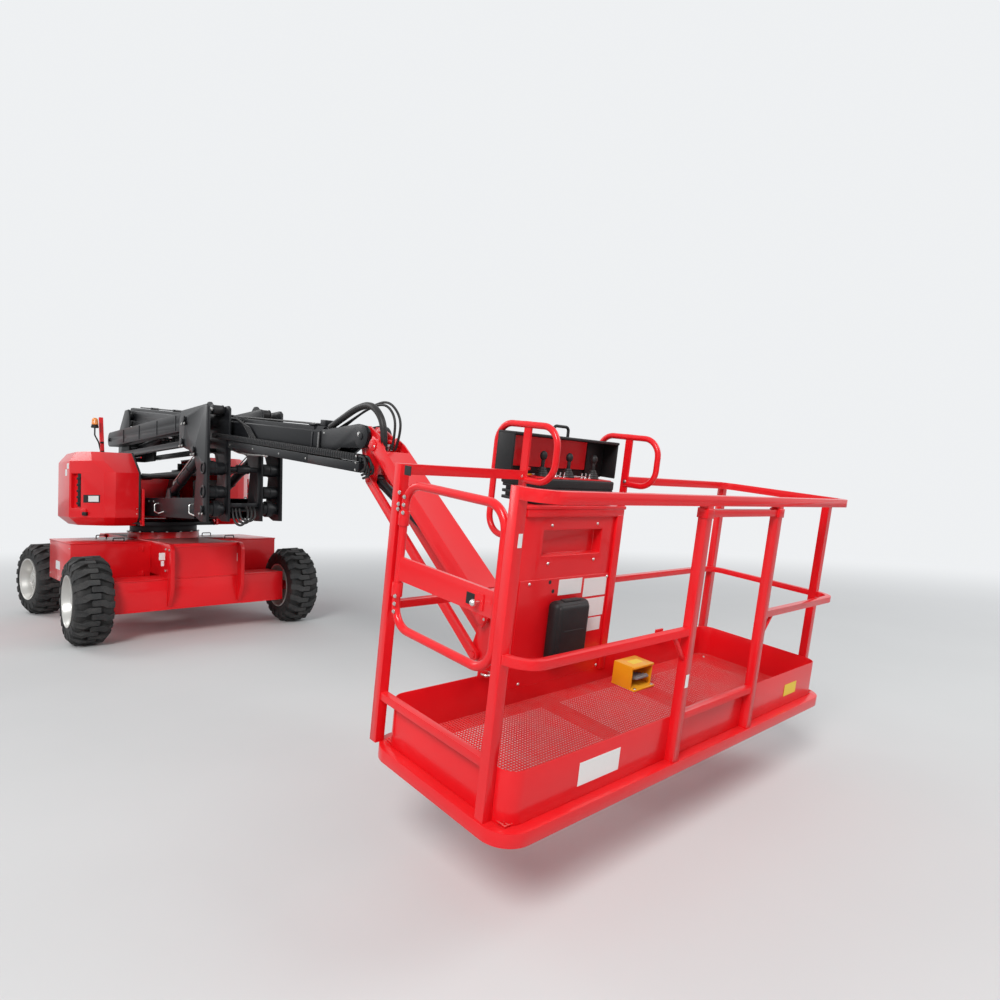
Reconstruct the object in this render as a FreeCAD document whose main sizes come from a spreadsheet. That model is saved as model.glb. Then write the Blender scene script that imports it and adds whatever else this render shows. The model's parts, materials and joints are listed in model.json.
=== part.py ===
"""Articulating boom lift: a wheeled chassis, a slewing turntable, a two-arm riser on a
parallelogram linkage, a telescopic main boom, a jib and a work platform.

All sizes are millimetres and degrees. X points towards the platform, Y to the machine's left
and Z up. The pivots lie in the machine's centre plane, measured from the slew axis at ground
level. The finished part's origin is on the ground, midway between its front and rear ends.
"""
import FreeCAD, Part
import Sketcher
import math
import os
import re

Vector = FreeCAD.Vector

SIZES = {
    # Running gear
    "wheelbase": 2512, "track": 2151, "tyre_radius": 440, "tyre_width": 350,
    "tyre_shoulder": 45, "rim_radius": 255, "rim_wall": 12, "dish_depth": 120,
    "hub_radius": 140, "spindle_radius": 55, "running_gap": 0.3, "bearing_gap": 0.05,
    "axle_half_depth": 208, "axle_bottom": 298, "axle_top": 623, "axle_half_length": 880,
    "axle_wall": 20, "rear_axle_half_depth": 130, "rear_axle_half_length": 640,
    "kingpin_y": 750, "kingpin_radius": 30, "yoke_radius": 90, "yoke_thick": 40,
    "knuckle_half_height": 110, "steer_rest": 11,
    # Chassis
    "frame_front": 1464, "frame_rear": -1420, "frame_half_width": 345, "frame_top": 985,
    "frame_wall": 16, "belly_bottom": 430, "belly_half_width": 300,
    "box_front": 705, "box_rear": -450, "box_outer": 1120, "box_bottom": 530, "box_top": 975,
    "lug_thick": 40, "lug_reach": 105, "lug_bottom": 335, "tow_hole_radius": 25,
    "pedestal_radius": 400, "slew_bottom": 1060, "slew_radius": 375, "slew_bore": 250,
    # Turntable
    "deck_bottom": 1150, "deck_thick": 40, "deck_behind": 350, "deck_front": 600,
    "deck_half_width": 400, "side_deck_outer": 930,
    "upright_inner": 345, "upright_thick": 25, "upright_top": 1860,
    "weight_gap": 190, "weight_reach": 475, "weight_half_width": 800, "weight_top": 1780,
    "weight_round": 260,
    "hood_inner": 430, "hood_front": 625, "hood_side": 1030, "hood_behind": 170,
    "hood_top": 1945, "hood_wall": 10, "hinge_out": 20, "hinge_drop": 12, "hinge_radius": 12,
    "hinge_pin": 8, "hinge_rear": -688, "hinge_front": 552, "hinge_lug": 24,
    "engine_length": 620, "engine_width": 380, "engine_height": 520,
    # Riser linkage
    "arm_length": 3200, "knuckle_pin_x": 2430, "knuckle_pin_z": 1367,
    "tower_link_dx": 10, "tower_link_dz": 388, "upper_pin_dx": -530, "upper_pin_dz": 893,
    "upper_link_dx": -60, "upper_link_dz": -220, "boom_pin_dx": 220, "boom_pin_dz": 310,
    "pin_radius": 25, "hub_wall": 18, "lower_arm_half_width": 310, "lower_arm_half_depth": 105,
    "lower_arm_stop": 420, "arm_wall": 8, "fork_half": 30, "lane_centre": 262,
    "knuckle_outer": 345, "knuckle_plate": 25, "knuckle_inner": 150, "inner_plate": 20,
    "upper_arm_half_depth": 95, "upper_arm_half_width": 60, "link_half_depth": 30,
    "tower_link_half_width": 60, "cross_tube_radius": 54, "cross_tube_bore": 38,
    "riser_eye_back": 1230, "riser_eye_rise": 165, "riser_rod_back": 250, "riser_rod_rise": 573,
    "riser_barrel_radius": 45, "riser_rod_radius": 28, "riser_angle": 65,
    # Main boom
    "boom_pitch": 7.1, "boom_half_depth": 125, "boom_half_width": 100, "boom_wall": 9,
    "boom_tail": 130, "fly_half_depth": 102, "fly_half_width": 77, "fly_wall": 7,
    "fly_shows": 200, "fly_inside": 2680, "boom_stroke": 2000,
    "tip_reach": 5916, "tip_rise": 78, "ear_reach": 416, "ear_thick": 20, "ear_radius": 88,
    "lift_eye_dx": 260, "lift_eye_dz": -440, "lift_rod_reach": 1250, "lift_rod_drop": 190,
    "lift_barrel_radius": 62, "lift_rod_radius": 36, "boom_angle": 75,
    "tray_width": 90, "tray_depth": 70, "tray_length": 1610,
    # Jib
    "jib_pitch": 42, "jib_length": 1550, "jib_pin_dx": 160, "jib_pin_dz": -71,
    "jib_link_dx": -90, "jib_link_dz": -235, "jib_half_width": 104, "jib_plate": 12,
    "jib_half_depth": 65, "jib_end": 150, "bracket_inner": 40, "bracket_plate": 20,
    "link_bar_inner": 64, "link_bar": 24, "jib_link_half_depth": 34,
    "jib_rod_reach": 900, "jib_rod_drop": 60, "jib_pin_radius": 20,
    "jib_barrel_radius": 34, "jib_rod_radius": 20, "jib_down": 15, "jib_up": 90,
    # Platform
    "rotator_ahead": 282.7, "rotator_base": -213.1, "platform_y": -1153, "platform_pitch": 8.3,
    "platform_length": 2422, "platform_depth": 641, "rail_ahead": 107, "rail_height": 1100,
    "mid_height": 550, "post": 40, "base_rail": 50, "toe_height": 185, "toe_thick": 4,
    "corner_bend": 150, "post_c": 941, "post_d": 1567, "floor_thick": 12,
    "rotator_radius": 95, "rotator_x": -965, "rotator_height": 190, "head_top": 60,
    "drop_height": 1030,
    "panel_start": 675, "panel_end": 1385, "panel_thick": 70, "panel_bottom": 60, "panel_top": 935,
    "console_depth": 260, "console_height": 140, "guard_gap": 20, "guard_radius": 15,
    "guard_height": 220, "guard_ahead": 180, "guard_behind": 200, "guard_low": 790,
    "gate_bottom": 480, "gate_top": 1030, "gate_tube": 16, "gate_gap": 22, "sleeve_wall": 5,
    "gate_bend": 90,
}


def work_out(size):
    """Places of the pivots that follow from the driving sizes, in machine coordinates."""
    def turned(dx, dz, pitch):
        angle = math.radians(pitch)
        return (dx * math.cos(angle) + dz * math.sin(angle),
                dz * math.cos(angle) - dx * math.sin(angle))

    def reach(name, x, z, dx, dz):
        length = math.hypot(dx, dz)
        place[name + "_x"], place[name + "_z"] = x, z
        place[name + "_length"] = length
        place[name + "_tilt"] = -math.degrees(math.atan2(dz, dx))

    place = {}
    bx, bz = size["knuckle_pin_x"], size["knuckle_pin_z"]
    place["arm_x"], place["arm_z"] = bx - size["arm_length"], bz
    place["deck_rear"] = place["arm_x"] - size["deck_behind"]
    place["weight_front"] = place["arm_x"] - size["weight_gap"]
    place["weight_rear"] = place["arm_x"] - size["weight_reach"]
    place["hood_rear"] = place["arm_x"] - size["hood_behind"]
    place["riser_eye_x"] = bx - size["riser_eye_back"]
    place["riser_eye_z"] = bz + size["riser_eye_rise"]
    place["riser_rod_x"] = bx - size["riser_rod_back"]
    place["riser_rod_z"] = bz + size["riser_rod_rise"]
    place["tower_link_x"] = place["arm_x"] + size["tower_link_dx"]
    place["tower_link_z"] = bz + size["tower_link_dz"]
    place["upper_pin_x"] = bx + size["upper_pin_dx"]
    place["upper_pin_z"] = bz + size["upper_pin_dz"]
    place["upper_link_x"] = place["upper_pin_x"] + size["upper_link_dx"]
    place["upper_link_z"] = place["upper_pin_z"] + size["upper_link_dz"]
    place["head_x"] = place["upper_pin_x"] - size["arm_length"]
    place["head_z"] = place["upper_pin_z"]
    place["boom_x"] = place["head_x"] + size["boom_pin_dx"]
    place["boom_z"] = place["head_z"] + size["boom_pin_dz"]
    place["fly_end"] = size["tip_reach"] - size["ear_reach"]
    place["boom_length"] = place["fly_end"] - size["fly_shows"]
    place["fly_tail"] = place["boom_length"] - size["fly_inside"]
    place["tray_end"] = place["boom_length"]
    place["tray_start"] = place["tray_end"] - size["tray_length"]
    tip = turned(size["tip_reach"], size["tip_rise"], size["boom_pitch"])
    place["tip_x"], place["tip_z"] = place["boom_x"] + tip[0], place["boom_z"] + tip[1]
    place["jib_x"] = place["tip_x"] + size["jib_pin_dx"]
    place["jib_z"] = place["tip_z"] + size["jib_pin_dz"]
    place["jib_link_x"] = place["jib_x"] + size["jib_link_dx"]
    place["jib_link_z"] = place["jib_z"] + size["jib_link_dz"]
    along = turned(size["jib_length"], 0, size["jib_pitch"])
    place["support_x"], place["support_z"] = place["jib_x"] + along[0], place["jib_z"] + along[1]
    reach("riser_ram", place["riser_eye_x"], place["riser_eye_z"],
          place["riser_rod_x"] - place["riser_eye_x"], place["riser_rod_z"] - place["riser_eye_z"])
    eye_x = place["head_x"] + size["lift_eye_dx"]
    eye_z = place["head_z"] + size["lift_eye_dz"] + size["boom_pin_dz"]
    rod = turned(size["lift_rod_reach"], -size["lift_rod_drop"], size["boom_pitch"])
    reach("lift_ram", eye_x, eye_z, place["boom_x"] + rod[0] - eye_x, place["boom_z"] + rod[1] - eye_z)
    eye_x, eye_z = place["jib_link_x"], place["jib_link_z"]
    place["jib_foot_dx"] = size["jib_pin_dx"] + size["jib_link_dx"]
    place["jib_foot_dz"] = size["jib_pin_dz"] + size["jib_link_dz"]
    rod = turned(size["jib_rod_reach"], -size["jib_rod_drop"], size["jib_pitch"])
    reach("jib_ram", eye_x, eye_z, place["jib_x"] + rod[0] - eye_x, place["jib_z"] + rod[1] - eye_z)
    pitch = size["platform_pitch"]
    place["gate_hinge_x"] = size["post"] / 2 + size["gate_gap"] - size["platform_depth"]
    place["gate_length"] = size["platform_depth"] - size["post"] - 2 * size["gate_gap"]
    foot = turned(size["rotator_ahead"] - size["rotator_x"], size["rotator_base"], pitch)
    place["platform_x"] = place["support_x"] + foot[0]
    place["platform_z"] = place["support_z"] + foot[1]
    front = turned(size["rail_ahead"] + size["post"] / 2, size["rail_height"], pitch)
    place["front_reach"] = place["platform_x"] + front[0]
    place["rear_reach"] = size["wheelbase"] / 2 + size["tyre_radius"] + size["tyre_shoulder"]
    place["origin_x"] = (place["front_reach"] - place["rear_reach"]) / 2
    return place


PLACES = work_out(SIZES)
NAMED = {**{name: "Sizes" for name in SIZES}, **{name: "Places" for name in PLACES}}

doc = FreeCAD.newDocument("BoomLift")
for sheet_name, values in (("Sizes", SIZES), ("Places", PLACES)):
    sheet = doc.addObject("Spreadsheet::Sheet", sheet_name)
    for row, (alias, value) in enumerate(values.items(), start=1):
        sheet.set("A%d" % row, alias)
        sheet.set("B%d" % row, "%.9g" % value)
        sheet.setAlias("B%d" % row, alias)
doc.recompute()

nodes = []


def linked(text):
    """The expression with each size's name written as its sheet cell."""
    return re.sub(r"[a-z_][a-z_0-9]*",
                  lambda word: "%s.%s" % (NAMED[word.group()], word.group())
                  if word.group() in NAMED else word.group(), str(text))


def size(text):
    """The number that an expression stands for."""
    return float(sheet.evalExpression(linked(text)))


def bind(item, **expressions):
    for prop, text in expressions.items():
        item.setExpression(prop, linked(text))


def put(item, x="0", y="0", z="0", pitch=None):
    """Bind an object's place, and its turn about the Y axis when it has one."""
    if pitch is not None:
        item.Placement = FreeCAD.Placement(Vector(), FreeCAD.Rotation(Vector(0, 1, 0), 30))
        item.setExpression("Placement.Rotation.Angle", linked(pitch))
    for axis, text in (("x", x), ("y", y), ("z", z)):
        item.setExpression("Placement.Base." + axis, linked(text))


def box(name, x, y, z):
    """A box between a low and a high expression on each axis."""
    item = doc.addObject("Part::Box", name)
    bind(item, Length="(%s) - (%s)" % (x[1], x[0]), Width="(%s) - (%s)" % (y[1], y[0]),
         Height="(%s) - (%s)" % (z[1], z[0]))
    put(item, x[0], y[0], z[0])
    return item


def rod(name, axis, radius, start, end, at=("0", "0"), bore=None):
    """A round bar along X, Y or Z, centred on the other two coordinates, bored if asked."""
    turn = {"X": (Vector(0, 1, 0), 90), "Y": (Vector(1, 0, 0), -90), "Z": (Vector(0, 0, 1), 0)}[axis]
    place = {"X": (start,) + tuple(at), "Y": (at[0], start, at[1]), "Z": tuple(at) + (start,)}[axis]
    bars = []
    for bar_name, bar_radius in ((name, radius), (name + "Bore", bore)):
        if bar_radius is None:
            continue
        bar = doc.addObject("Part::Cylinder", bar_name)
        bind(bar, Radius=bar_radius, Height="(%s) - (%s)" % (end, start))
        bar.Placement = FreeCAD.Placement(Vector(), FreeCAD.Rotation(*turn))
        for letter, text in zip("xyz", place):
            bar.setExpression("Placement.Base." + letter, linked(text))
        bars.append(bar)
    return bars[0] if bore is None else cut(name + "Tube", bars[0], [bars[1]])


def fuse(name, items):
    item = doc.addObject("Part::MultiFuse", name)
    item.Shapes = items
    return item


def cut(name, base, tools):
    item = doc.addObject("Part::Cut", name)
    item.Base = base
    item.Tool = tools[0] if len(tools) == 1 else fuse(name + "Tools", tools)
    return item


def beam(name, x, half_width, z, wall):
    """A rectangular tube along X, open at both ends."""
    outer = box(name + "Outer", x, ("-(%s)" % half_width, half_width), z)
    inner = box(name + "Inner", ("(%s) - 1" % x[0], "(%s) + 1" % x[1]),
                ("%s - (%s)" % (wall, half_width), "(%s) - %s" % (half_width, wall)),
                ("(%s) + %s" % (z[0], wall), "(%s) - %s" % (z[1], wall)))
    return cut(name, outer, [inner])


PLANES = {"XY": "XY_Plane", "XZ": "XZ_Plane", "YZ": "YZ_Plane"}


def sketch(body, plane, name, corners, circles=()):
    """A closed outline through the corners, with round holes, each tied to its sizes."""
    drawing = body.newObject("Sketcher::SketchObject", name)
    support = [f for f in body.Origin.OriginFeatures if f.Role == PLANES[plane]][0]
    drawing.AttachmentSupport = [(support, "")]
    drawing.MapMode = "FlatFace"
    points = [Vector(size(u), size(v), 0) for u, v in corners]
    count = len(points)
    for number in range(count):
        drawing.addGeometry(Part.LineSegment(points[number], points[(number + 1) % count]), False)
    for number in range(count):
        drawing.addConstraint(Sketcher.Constraint("Coincident", number, 2, (number + 1) % count, 1))
    for u, v, radius in circles:
        drawing.addGeometry(Part.Circle(Vector(size(u), size(v), 0), Vector(0, 0, 1), size(radius)), False)
    held = [(number, 1, u, v) for number, (u, v) in enumerate(corners)]
    held += [(count + number, 3, u, v) for number, (u, v, radius) in enumerate(circles)]
    for number, end, u, v in held:
        for kind, axis, text in (("DistanceX", -2, u), ("DistanceY", -1, v)):
            if text == "0":
                drawing.addConstraint(Sketcher.Constraint("PointOnObject", number, end, axis))
            else:
                place = drawing.addConstraint(
                    Sketcher.Constraint(kind, -1, 1, number, end, size(text)))
                drawing.setExpression("Constraints[%d]" % place, linked(text))
    for number, (u, v, radius) in enumerate(circles):
        place = drawing.addConstraint(Sketcher.Constraint("Radius", count + number, size(radius)))
        drawing.setExpression("Constraints[%d]" % place, linked(radius))
    return drawing


def plate(name, plane, corners, thick, centre="0", circles=(), rounds=()):
    """A flat plate of an outline, centred across its thickness, with some corners rounded.

    rounds holds pairs of the corners' numbers and a radius.
    """
    body = doc.addObject("PartDesign::Body", name)
    drawing = sketch(body, plane, name + "Outline", corners, circles)
    pad = body.newObject("PartDesign::Pad", name + "Pad")
    pad.Profile = drawing
    pad.SideType = "Symmetric"
    bind(pad, Length=thick)
    drawing.Visibility = False
    last = pad
    for step, (numbers, radius) in enumerate(rounds):
        doc.recompute()
        wanted = [(size(corners[n][0]), size(corners[n][1])) for n in numbers]
        names = corner_edges(last.Shape, plane, wanted)
        blend = body.newObject("PartDesign::Fillet", "%sRound%d" % (name, step))
        blend.Base = (last, names)
        bind(blend, Radius=radius)
        last = blend
    body.Tip = last
    across = {"XY": "z", "XZ": "y", "YZ": "x"}[plane]
    body.setExpression("Placement.Base." + across, linked(centre))
    return body


def corner_edges(shape, plane, wanted):
    """Names of the edges that run across the plate at the given corners."""
    def flat(point):
        return {"XY": (point.x, point.y), "XZ": (point.x, point.z), "YZ": (point.y, point.z)}[plane]

    names = []
    for number, edge in enumerate(shape.Edges, start=1):
        if len(edge.Vertexes) != 2:
            continue
        ends = [flat(vertex.Point) for vertex in edge.Vertexes]
        for corner in wanted:
            if all(math.dist(end, corner) < 0.01 for end in ends):
                names.append("Edge%d" % number)
    return names


def turned_part(name, profile):
    """A solid of revolution about the Y axis, from (distance along Y, radius) corners."""
    body = doc.addObject("PartDesign::Body", name)
    drawing = sketch(body, "YZ", name + "Profile", profile)
    turn = body.newObject("PartDesign::Revolution", name + "Turn")
    turn.Profile = drawing
    turn.ReferenceAxis = (drawing, ["H_Axis"])
    turn.Angle = 360
    drawing.Visibility = False
    body.Tip = turn
    return body


def bent_path(points, bend, closed=False):
    """A wire of straight runs joined by tangent arcs."""
    corners = points if not closed else points[-1:] + points + points[:1]
    first = (points[0] + points[-1]) * 0.5 if closed else points[0]
    edges, start = [], first
    if closed:
        corners = [first] + points + [first]
    for before, corner, after in zip(corners, corners[1:], corners[2:]):
        back, ahead = (before - corner).normalize(), (after - corner).normalize()
        half = back.getAngle(ahead) / 2
        enter, leave = corner + back * (bend / math.tan(half)), corner + ahead * (bend / math.tan(half))
        middle = (back + ahead).normalize()
        top = corner + middle * (bend / math.sin(half) - bend)
        edges.append(Part.LineSegment(start, enter).toShape())
        edges.append(Part.Arc(enter, top, leave).toShape())
        start = leave
    edges.append(Part.LineSegment(start, corners[-1]).toShape())
    return Part.Wire(edges)


def bent_tube(points, bend, half, round_section=False, closed=False):
    """A square or round bar swept along a bent path of (x, y, z) corners."""
    path = bent_path([Vector(*point) for point in points], bend, closed)
    start = path.Edges[0].Vertexes[0].Point
    along = path.Edges[0].tangentAt(path.Edges[0].FirstParameter)
    side = along.cross(Vector(0, 0, 1))
    side = Vector(1, 0, 0) if side.Length < 0.01 else side.normalize()
    up = along.cross(side).normalize()
    if round_section:
        section = Part.Wire([Part.Circle(start, along, half).toShape()])
    else:
        ring = [start + side * (a * half) + up * (b * half)
                for a, b in ((1, 1), (-1, 1), (-1, -1), (1, -1), (1, 1))]
        section = Part.makePolygon(ring)
    return path.makePipeShell([section], True, False)


def feature(name, shape):
    item = doc.addObject("Part::Feature", name)
    item.Shape = shape
    return item


def node(label, items, tools=(), x="0", y="0", z="0", pitch=None, turn_z=None):
    """A finished sub-part: its solids, less what is cut from them, at its place."""
    body_name = label + "_solid" if tools else label
    if len(items) == 1:
        item = doc.addObject("Part::Compound", body_name)
        item.Links = items
    else:
        item = fuse(body_name, items)
    if tools:
        item = cut(label, item, list(tools))
    put(item, "(%s) - origin_x" % x, y, z, pitch)
    if turn_z is not None:
        item.Placement = FreeCAD.Placement(Vector(), FreeCAD.Rotation(Vector(0, 0, 1), 30))
        item.setExpression("Placement.Rotation.Angle", linked(turn_z))
    item.Label = label
    nodes.append(item)
    return item


def mirrored(name, item):
    """The same piece on the machine's other side."""
    other = doc.addObject("Part::Mirroring", name)
    other.Source = item
    other.Normal = Vector(0, 1, 0)
    return other


# Wheels: a carcass with chamfered shoulders on a dished rim. The wheel's own frame has its
# axle along Y and its outer face on the +Y side.

def wheel(corner, x, y, outward, turn=None):
    tyre = turned_part("Tyre" + corner, (
        ("-tyre_width / 2", "rim_radius"), ("tyre_width / 2", "rim_radius"),
        ("tyre_width / 2", "tyre_radius - tyre_shoulder"),
        ("tyre_width / 2 - tyre_shoulder", "tyre_radius"),
        ("tyre_shoulder - tyre_width / 2", "tyre_radius"),
        ("-tyre_width / 2", "tyre_radius - tyre_shoulder")))
    rim = turned_part("Rim" + corner, (
        ("-tyre_width / 2", "rim_radius"), ("tyre_width / 2", "rim_radius"),
        ("tyre_width / 2", "rim_radius - rim_wall"),
        ("tyre_width / 2 - dish_depth", "rim_radius - 3 * rim_wall"),
        ("tyre_width / 2 - dish_depth", "hub_radius"),
        ("tyre_width / 2 - dish_depth + 3 * rim_wall", "hub_radius - rim_wall"),
        ("tyre_width / 2 - dish_depth + 3 * rim_wall", "spindle_radius + bearing_gap"),
        ("-tyre_width / 4", "spindle_radius + bearing_gap"),
        ("-tyre_width / 4", "hub_radius - rim_wall"),
        ("tyre_width / 2 - dish_depth - 2 * rim_wall", "hub_radius"),
        ("tyre_width / 2 - dish_depth - 2 * rim_wall", "rim_radius - 3 * rim_wall"),
        ("-tyre_width / 2", "rim_radius - rim_wall")))
    for label, body in (("tyre_", tyre), ("rim_", rim)):
        placed = body
        if outward < 0:
            placed = mirrored(label + corner + "_flip", body)
        node(label + corner, [placed], x=x, y=y, z="tyre_radius", turn_z=turn)


# The steered wheels stand turned about their kingpins.
KINGPIN_ARM = "(track / 2 - kingpin_y)"
wheel("front_right", "wheelbase / 2", "-track / 2", -1)
wheel("front_left", "wheelbase / 2", "track / 2", 1)
wheel("rear_right", "%s * sin(steer_rest * 1deg) - wheelbase / 2" % KINGPIN_ARM,
      "-kingpin_y - %s * cos(steer_rest * 1deg)" % KINGPIN_ARM, -1, "steer_rest")
wheel("rear_left", "-wheelbase / 2 - %s * sin(steer_rest * 1deg)" % KINGPIN_ARM,
      "kingpin_y + %s * cos(steer_rest * 1deg)" % KINGPIN_ARM, 1, "steer_rest")

# Front axle: a box beam with a spindle at each end.
AXLE_END = "track / 2 + tyre_width / 2 - dish_depth + 2 * rim_wall"
front_beam = box("FrontBeam", ("-axle_half_depth", "axle_half_depth"),
                 ("-axle_half_length", "axle_half_length"), ("axle_bottom", "axle_top"))
front_spindle = rod("FrontSpindle", "Y", "spindle_radius", "-(%s)" % AXLE_END, AXLE_END,
                    ("0", "tyre_radius"))
front_hollow = box("FrontHollow", ("axle_wall - axle_half_depth", "axle_half_depth - axle_wall"),
                   ("-axle_half_length - 1", "axle_half_length + 1"),
                   ("axle_bottom + axle_wall", "axle_top - axle_wall"))
front_shell = cut("FrontShell", front_beam, [front_hollow])
end_caps = [box("FrontCap%d" % side, ("axle_wall - axle_half_depth - 1", "axle_half_depth - axle_wall + 1"),
                sorted_pair, ("axle_bottom + axle_wall - 1", "axle_top - axle_wall + 1"))
            for side, sorted_pair in ((0, ("-axle_half_length", "axle_wall - axle_half_length")),
                                      (1, ("axle_half_length - axle_wall", "axle_half_length")))]
node("front_axle", [front_shell, front_spindle] + end_caps, x="wheelbase / 2")

# Rear axle: a slimmer beam whose forked ends hold the kingpins.
rear_beam = box("RearBeam", ("-rear_axle_half_depth", "rear_axle_half_depth"),
                ("-rear_axle_half_length", "rear_axle_half_length"),
                ("tyre_radius - knuckle_half_height - yoke_thick", "axle_top"))
rear_items = [rear_beam]
for side, sign in (("Right", "-"), ("Left", "")):
    for level, low, high in (("Low", "tyre_radius - knuckle_half_height - yoke_thick",
                              "tyre_radius - knuckle_half_height - running_gap"),
                             ("High", "tyre_radius + knuckle_half_height + running_gap",
                              "tyre_radius + knuckle_half_height + yoke_thick")):
        rear_items.append(rod("Yoke" + side + level, "Z", "yoke_radius", low, high,
                              ("0", sign + "kingpin_y")))
        inner = ("rear_axle_half_length - 1", "kingpin_y")
        across = inner if sign == "" else ("-(%s)" % inner[1], "-(%s)" % inner[0])
        rear_items.append(box("Arm" + side + level, ("-yoke_radius", "yoke_radius"), across, (low, high)))
    rear_items.append(rod("Kingpin" + side, "Z", "kingpin_radius",
                          "tyre_radius - knuckle_half_height - yoke_thick",
                          "tyre_radius + knuckle_half_height + yoke_thick", ("0", sign + "kingpin_y")))
node("rear_axle", rear_items, x="-wheelbase / 2")

# Steering knuckles: a hub block round the kingpin with the wheel's spindle and a tie-rod arm.
for side, sign in (("right", -1), ("left", 1)):
    hub = rod("Hub_" + side, "Z", "yoke_radius - 10", "-knuckle_half_height", "knuckle_half_height",
              bore="kingpin_radius + bearing_gap")
    reach = "%s + tyre_width / 2 - dish_depth + 2 * rim_wall" % KINGPIN_ARM
    spindle = rod("Spindle_" + side, "Y", "spindle_radius", "kingpin_radius + 20", reach)
    arm = box("SteerArm_" + side, ("-250", "-50"), ("0", "40"), ("-20", "20"))
    whole = fuse("Knuckle_" + side, [hub, spindle, arm])
    placed = whole if sign > 0 else mirrored("Flip_" + side, whole)
    node("steering_knuckle_" + side, [placed], x="-wheelbase / 2",
         y="kingpin_y" if sign > 0 else "-kingpin_y", z="tyre_radius", turn_z="steer_rest")

# Chassis frame: a hollow centre box over both axles, a lower belly between them and a pedestal.
frame_box = box("FrameBox", ("frame_rear", "frame_front"), ("-frame_half_width", "frame_half_width"),
                ("axle_top", "frame_top"))
frame_hollow = box("FrameHollow", ("frame_rear + frame_wall", "frame_front - frame_wall"),
                   ("frame_wall - frame_half_width", "frame_half_width - frame_wall"),
                   ("axle_top - 1", "frame_top - frame_wall"))
AXLE_CLEAR = "wheelbase / 2 - axle_half_depth"
belly = box("Belly", ("60 - (%s)" % AXLE_CLEAR, "%s" % AXLE_CLEAR),
            ("-belly_half_width", "belly_half_width"), ("belly_bottom", "axle_top + 1"))
belly_hollow = box("BellyHollow", ("60 - (%s) + frame_wall" % AXLE_CLEAR, "%s - frame_wall" % AXLE_CLEAR),
                   ("frame_wall - belly_half_width", "belly_half_width - frame_wall"),
                   ("belly_bottom - 1", "axle_top + 2"))
pedestal = rod("Pedestal", "Z", "pedestal_radius", "frame_top - 1", "slew_bottom", bore="slew_bore")
lugs = []
for end, face, way in (("Front", "frame_front", "+"), ("Rear", "frame_rear", "-")):
    for side, centre in (("Right", "-frame_half_width - lug_thick / 2"),
                         ("Left", "frame_half_width + lug_thick / 2")):
        back = "- 260" if way == "+" else "+ 200"
        out = way + " lug_reach"
        hole = () if way == "+" else (("%s - lug_reach / 2" % face, "frame_top - 75", "tow_hole_radius"),)
        lugs.append(plate("Lug" + end + side, "XZ", (
            ("%s %s" % (face, back), "frame_top"), ("%s %s" % (face, out), "frame_top"),
            ("%s %s" % (face, out), "axle_top - 100"), ("%s %s 20" % (face, way), "lug_bottom"),
            ("%s %s 1" % (face, way), "lug_bottom"), ("%s %s 1" % (face, way), "axle_top"),
            ("%s %s" % (face, back), "axle_top")), "lug_thick", centre, hole, (((1,), 90),)))
node("chassis_frame", [frame_box, belly, pedestal] + lugs, [frame_hollow, belly_hollow])

# Side boxes between the wheels.
for side, sign in (("right", "-"), ("left", "")):
    span = ("frame_half_width", "box_outer")
    wide = span if sign == "" else ("-(%s)" % span[1], "-(%s)" % span[0])
    node("side_box_" + side, [box("SideBox_" + side, ("box_rear", "box_front"), wide,
                                  ("box_bottom", "box_top"))])

node("slew_ring", [rod("SlewRing", "Z", "slew_radius", "slew_bottom", "deck_bottom - running_gap",
                       bore="slew_bore")])

# Turntable: deck, side decks and two uprights that carry the riser's rear pins.
deck = box("Deck", ("deck_rear", "deck_front"), ("-deck_half_width", "deck_half_width"),
           ("deck_bottom", "deck_bottom + deck_thick"))
SIDE_DECK = (("hood_rear + 205", "side_deck_outer - 60"), ("hood_rear + 320", "side_deck_outer"),
             ("90", "side_deck_outer"), ("hood_front - 160", "hood_inner + 380"),
             ("hood_front - 60", "hood_inner + 240"))
side_deck = plate("SideDeck", "XY", [(x, "-(%s)" % y) for x, y in SIDE_DECK] + list(SIDE_DECK[::-1]),
                  "deck_thick / 2", "deck_bottom + 3 * deck_thick / 4")
uprights = []
for side, centre in (("Right", "-upright_inner - upright_thick / 2"),
                     ("Left", "upright_inner + upright_thick / 2")):
    uprights.append(plate("Upright" + side, "XZ", (
        ("deck_rear", "deck_bottom + 10"), ("deck_front - 150", "deck_bottom + 10"),
        ("deck_front - 350", "deck_bottom + 140"), ("arm_x + 220", "deck_bottom + 180"),
        ("tower_link_x + 110", "upright_top"), ("tower_link_x - 110", "upright_top"),
        ("deck_rear", "upright_top - 300")), "upright_thick", centre))
HEAD = "upright_inner + upright_thick + 15"
rear_pins = [rod("RiserPin%d" % n, "Y", "pin_radius", "-(%s)" % HEAD, HEAD, at)
             for n, at in enumerate((("arm_x", "arm_z"), ("tower_link_x", "tower_link_z")))]

# A post at the front and a lug at the rear hold each hood's hinge pin.
HINGE = ("hood_inner - hinge_out", "hood_top - hinge_drop")
hinge_holders = []
for side, sign in (("Right", "-"), ("Left", "")):
    for end, at, inner, low in (("Rear", "hinge_rear", "upright_inner + upright_thick - 5", "upright_top - 20"),
                                ("Front", "hinge_front", "%s - hinge_radius" % HINGE[0], "deck_bottom + 20")):
        edge = ("%s(%s)" % (sign, inner), "%s(%s + hinge_radius)" % (sign, HINGE[0]))
        hinge_holders.append(box("HingeLug" + side + end, ("%s - hinge_lug / 2" % at, "%s + hinge_lug / 2" % at),
                                 edge if sign == "" else edge[::-1], (low, "hood_top")))
    hinge_holders.append(rod("HingePin" + side, "X", "hinge_pin", "hinge_rear", "hinge_front",
                             ("%s(%s)" % (sign, HINGE[0]), HINGE[1])))
node("turntable_frame", [deck, side_deck] + uprights + rear_pins + hinge_holders)

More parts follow.
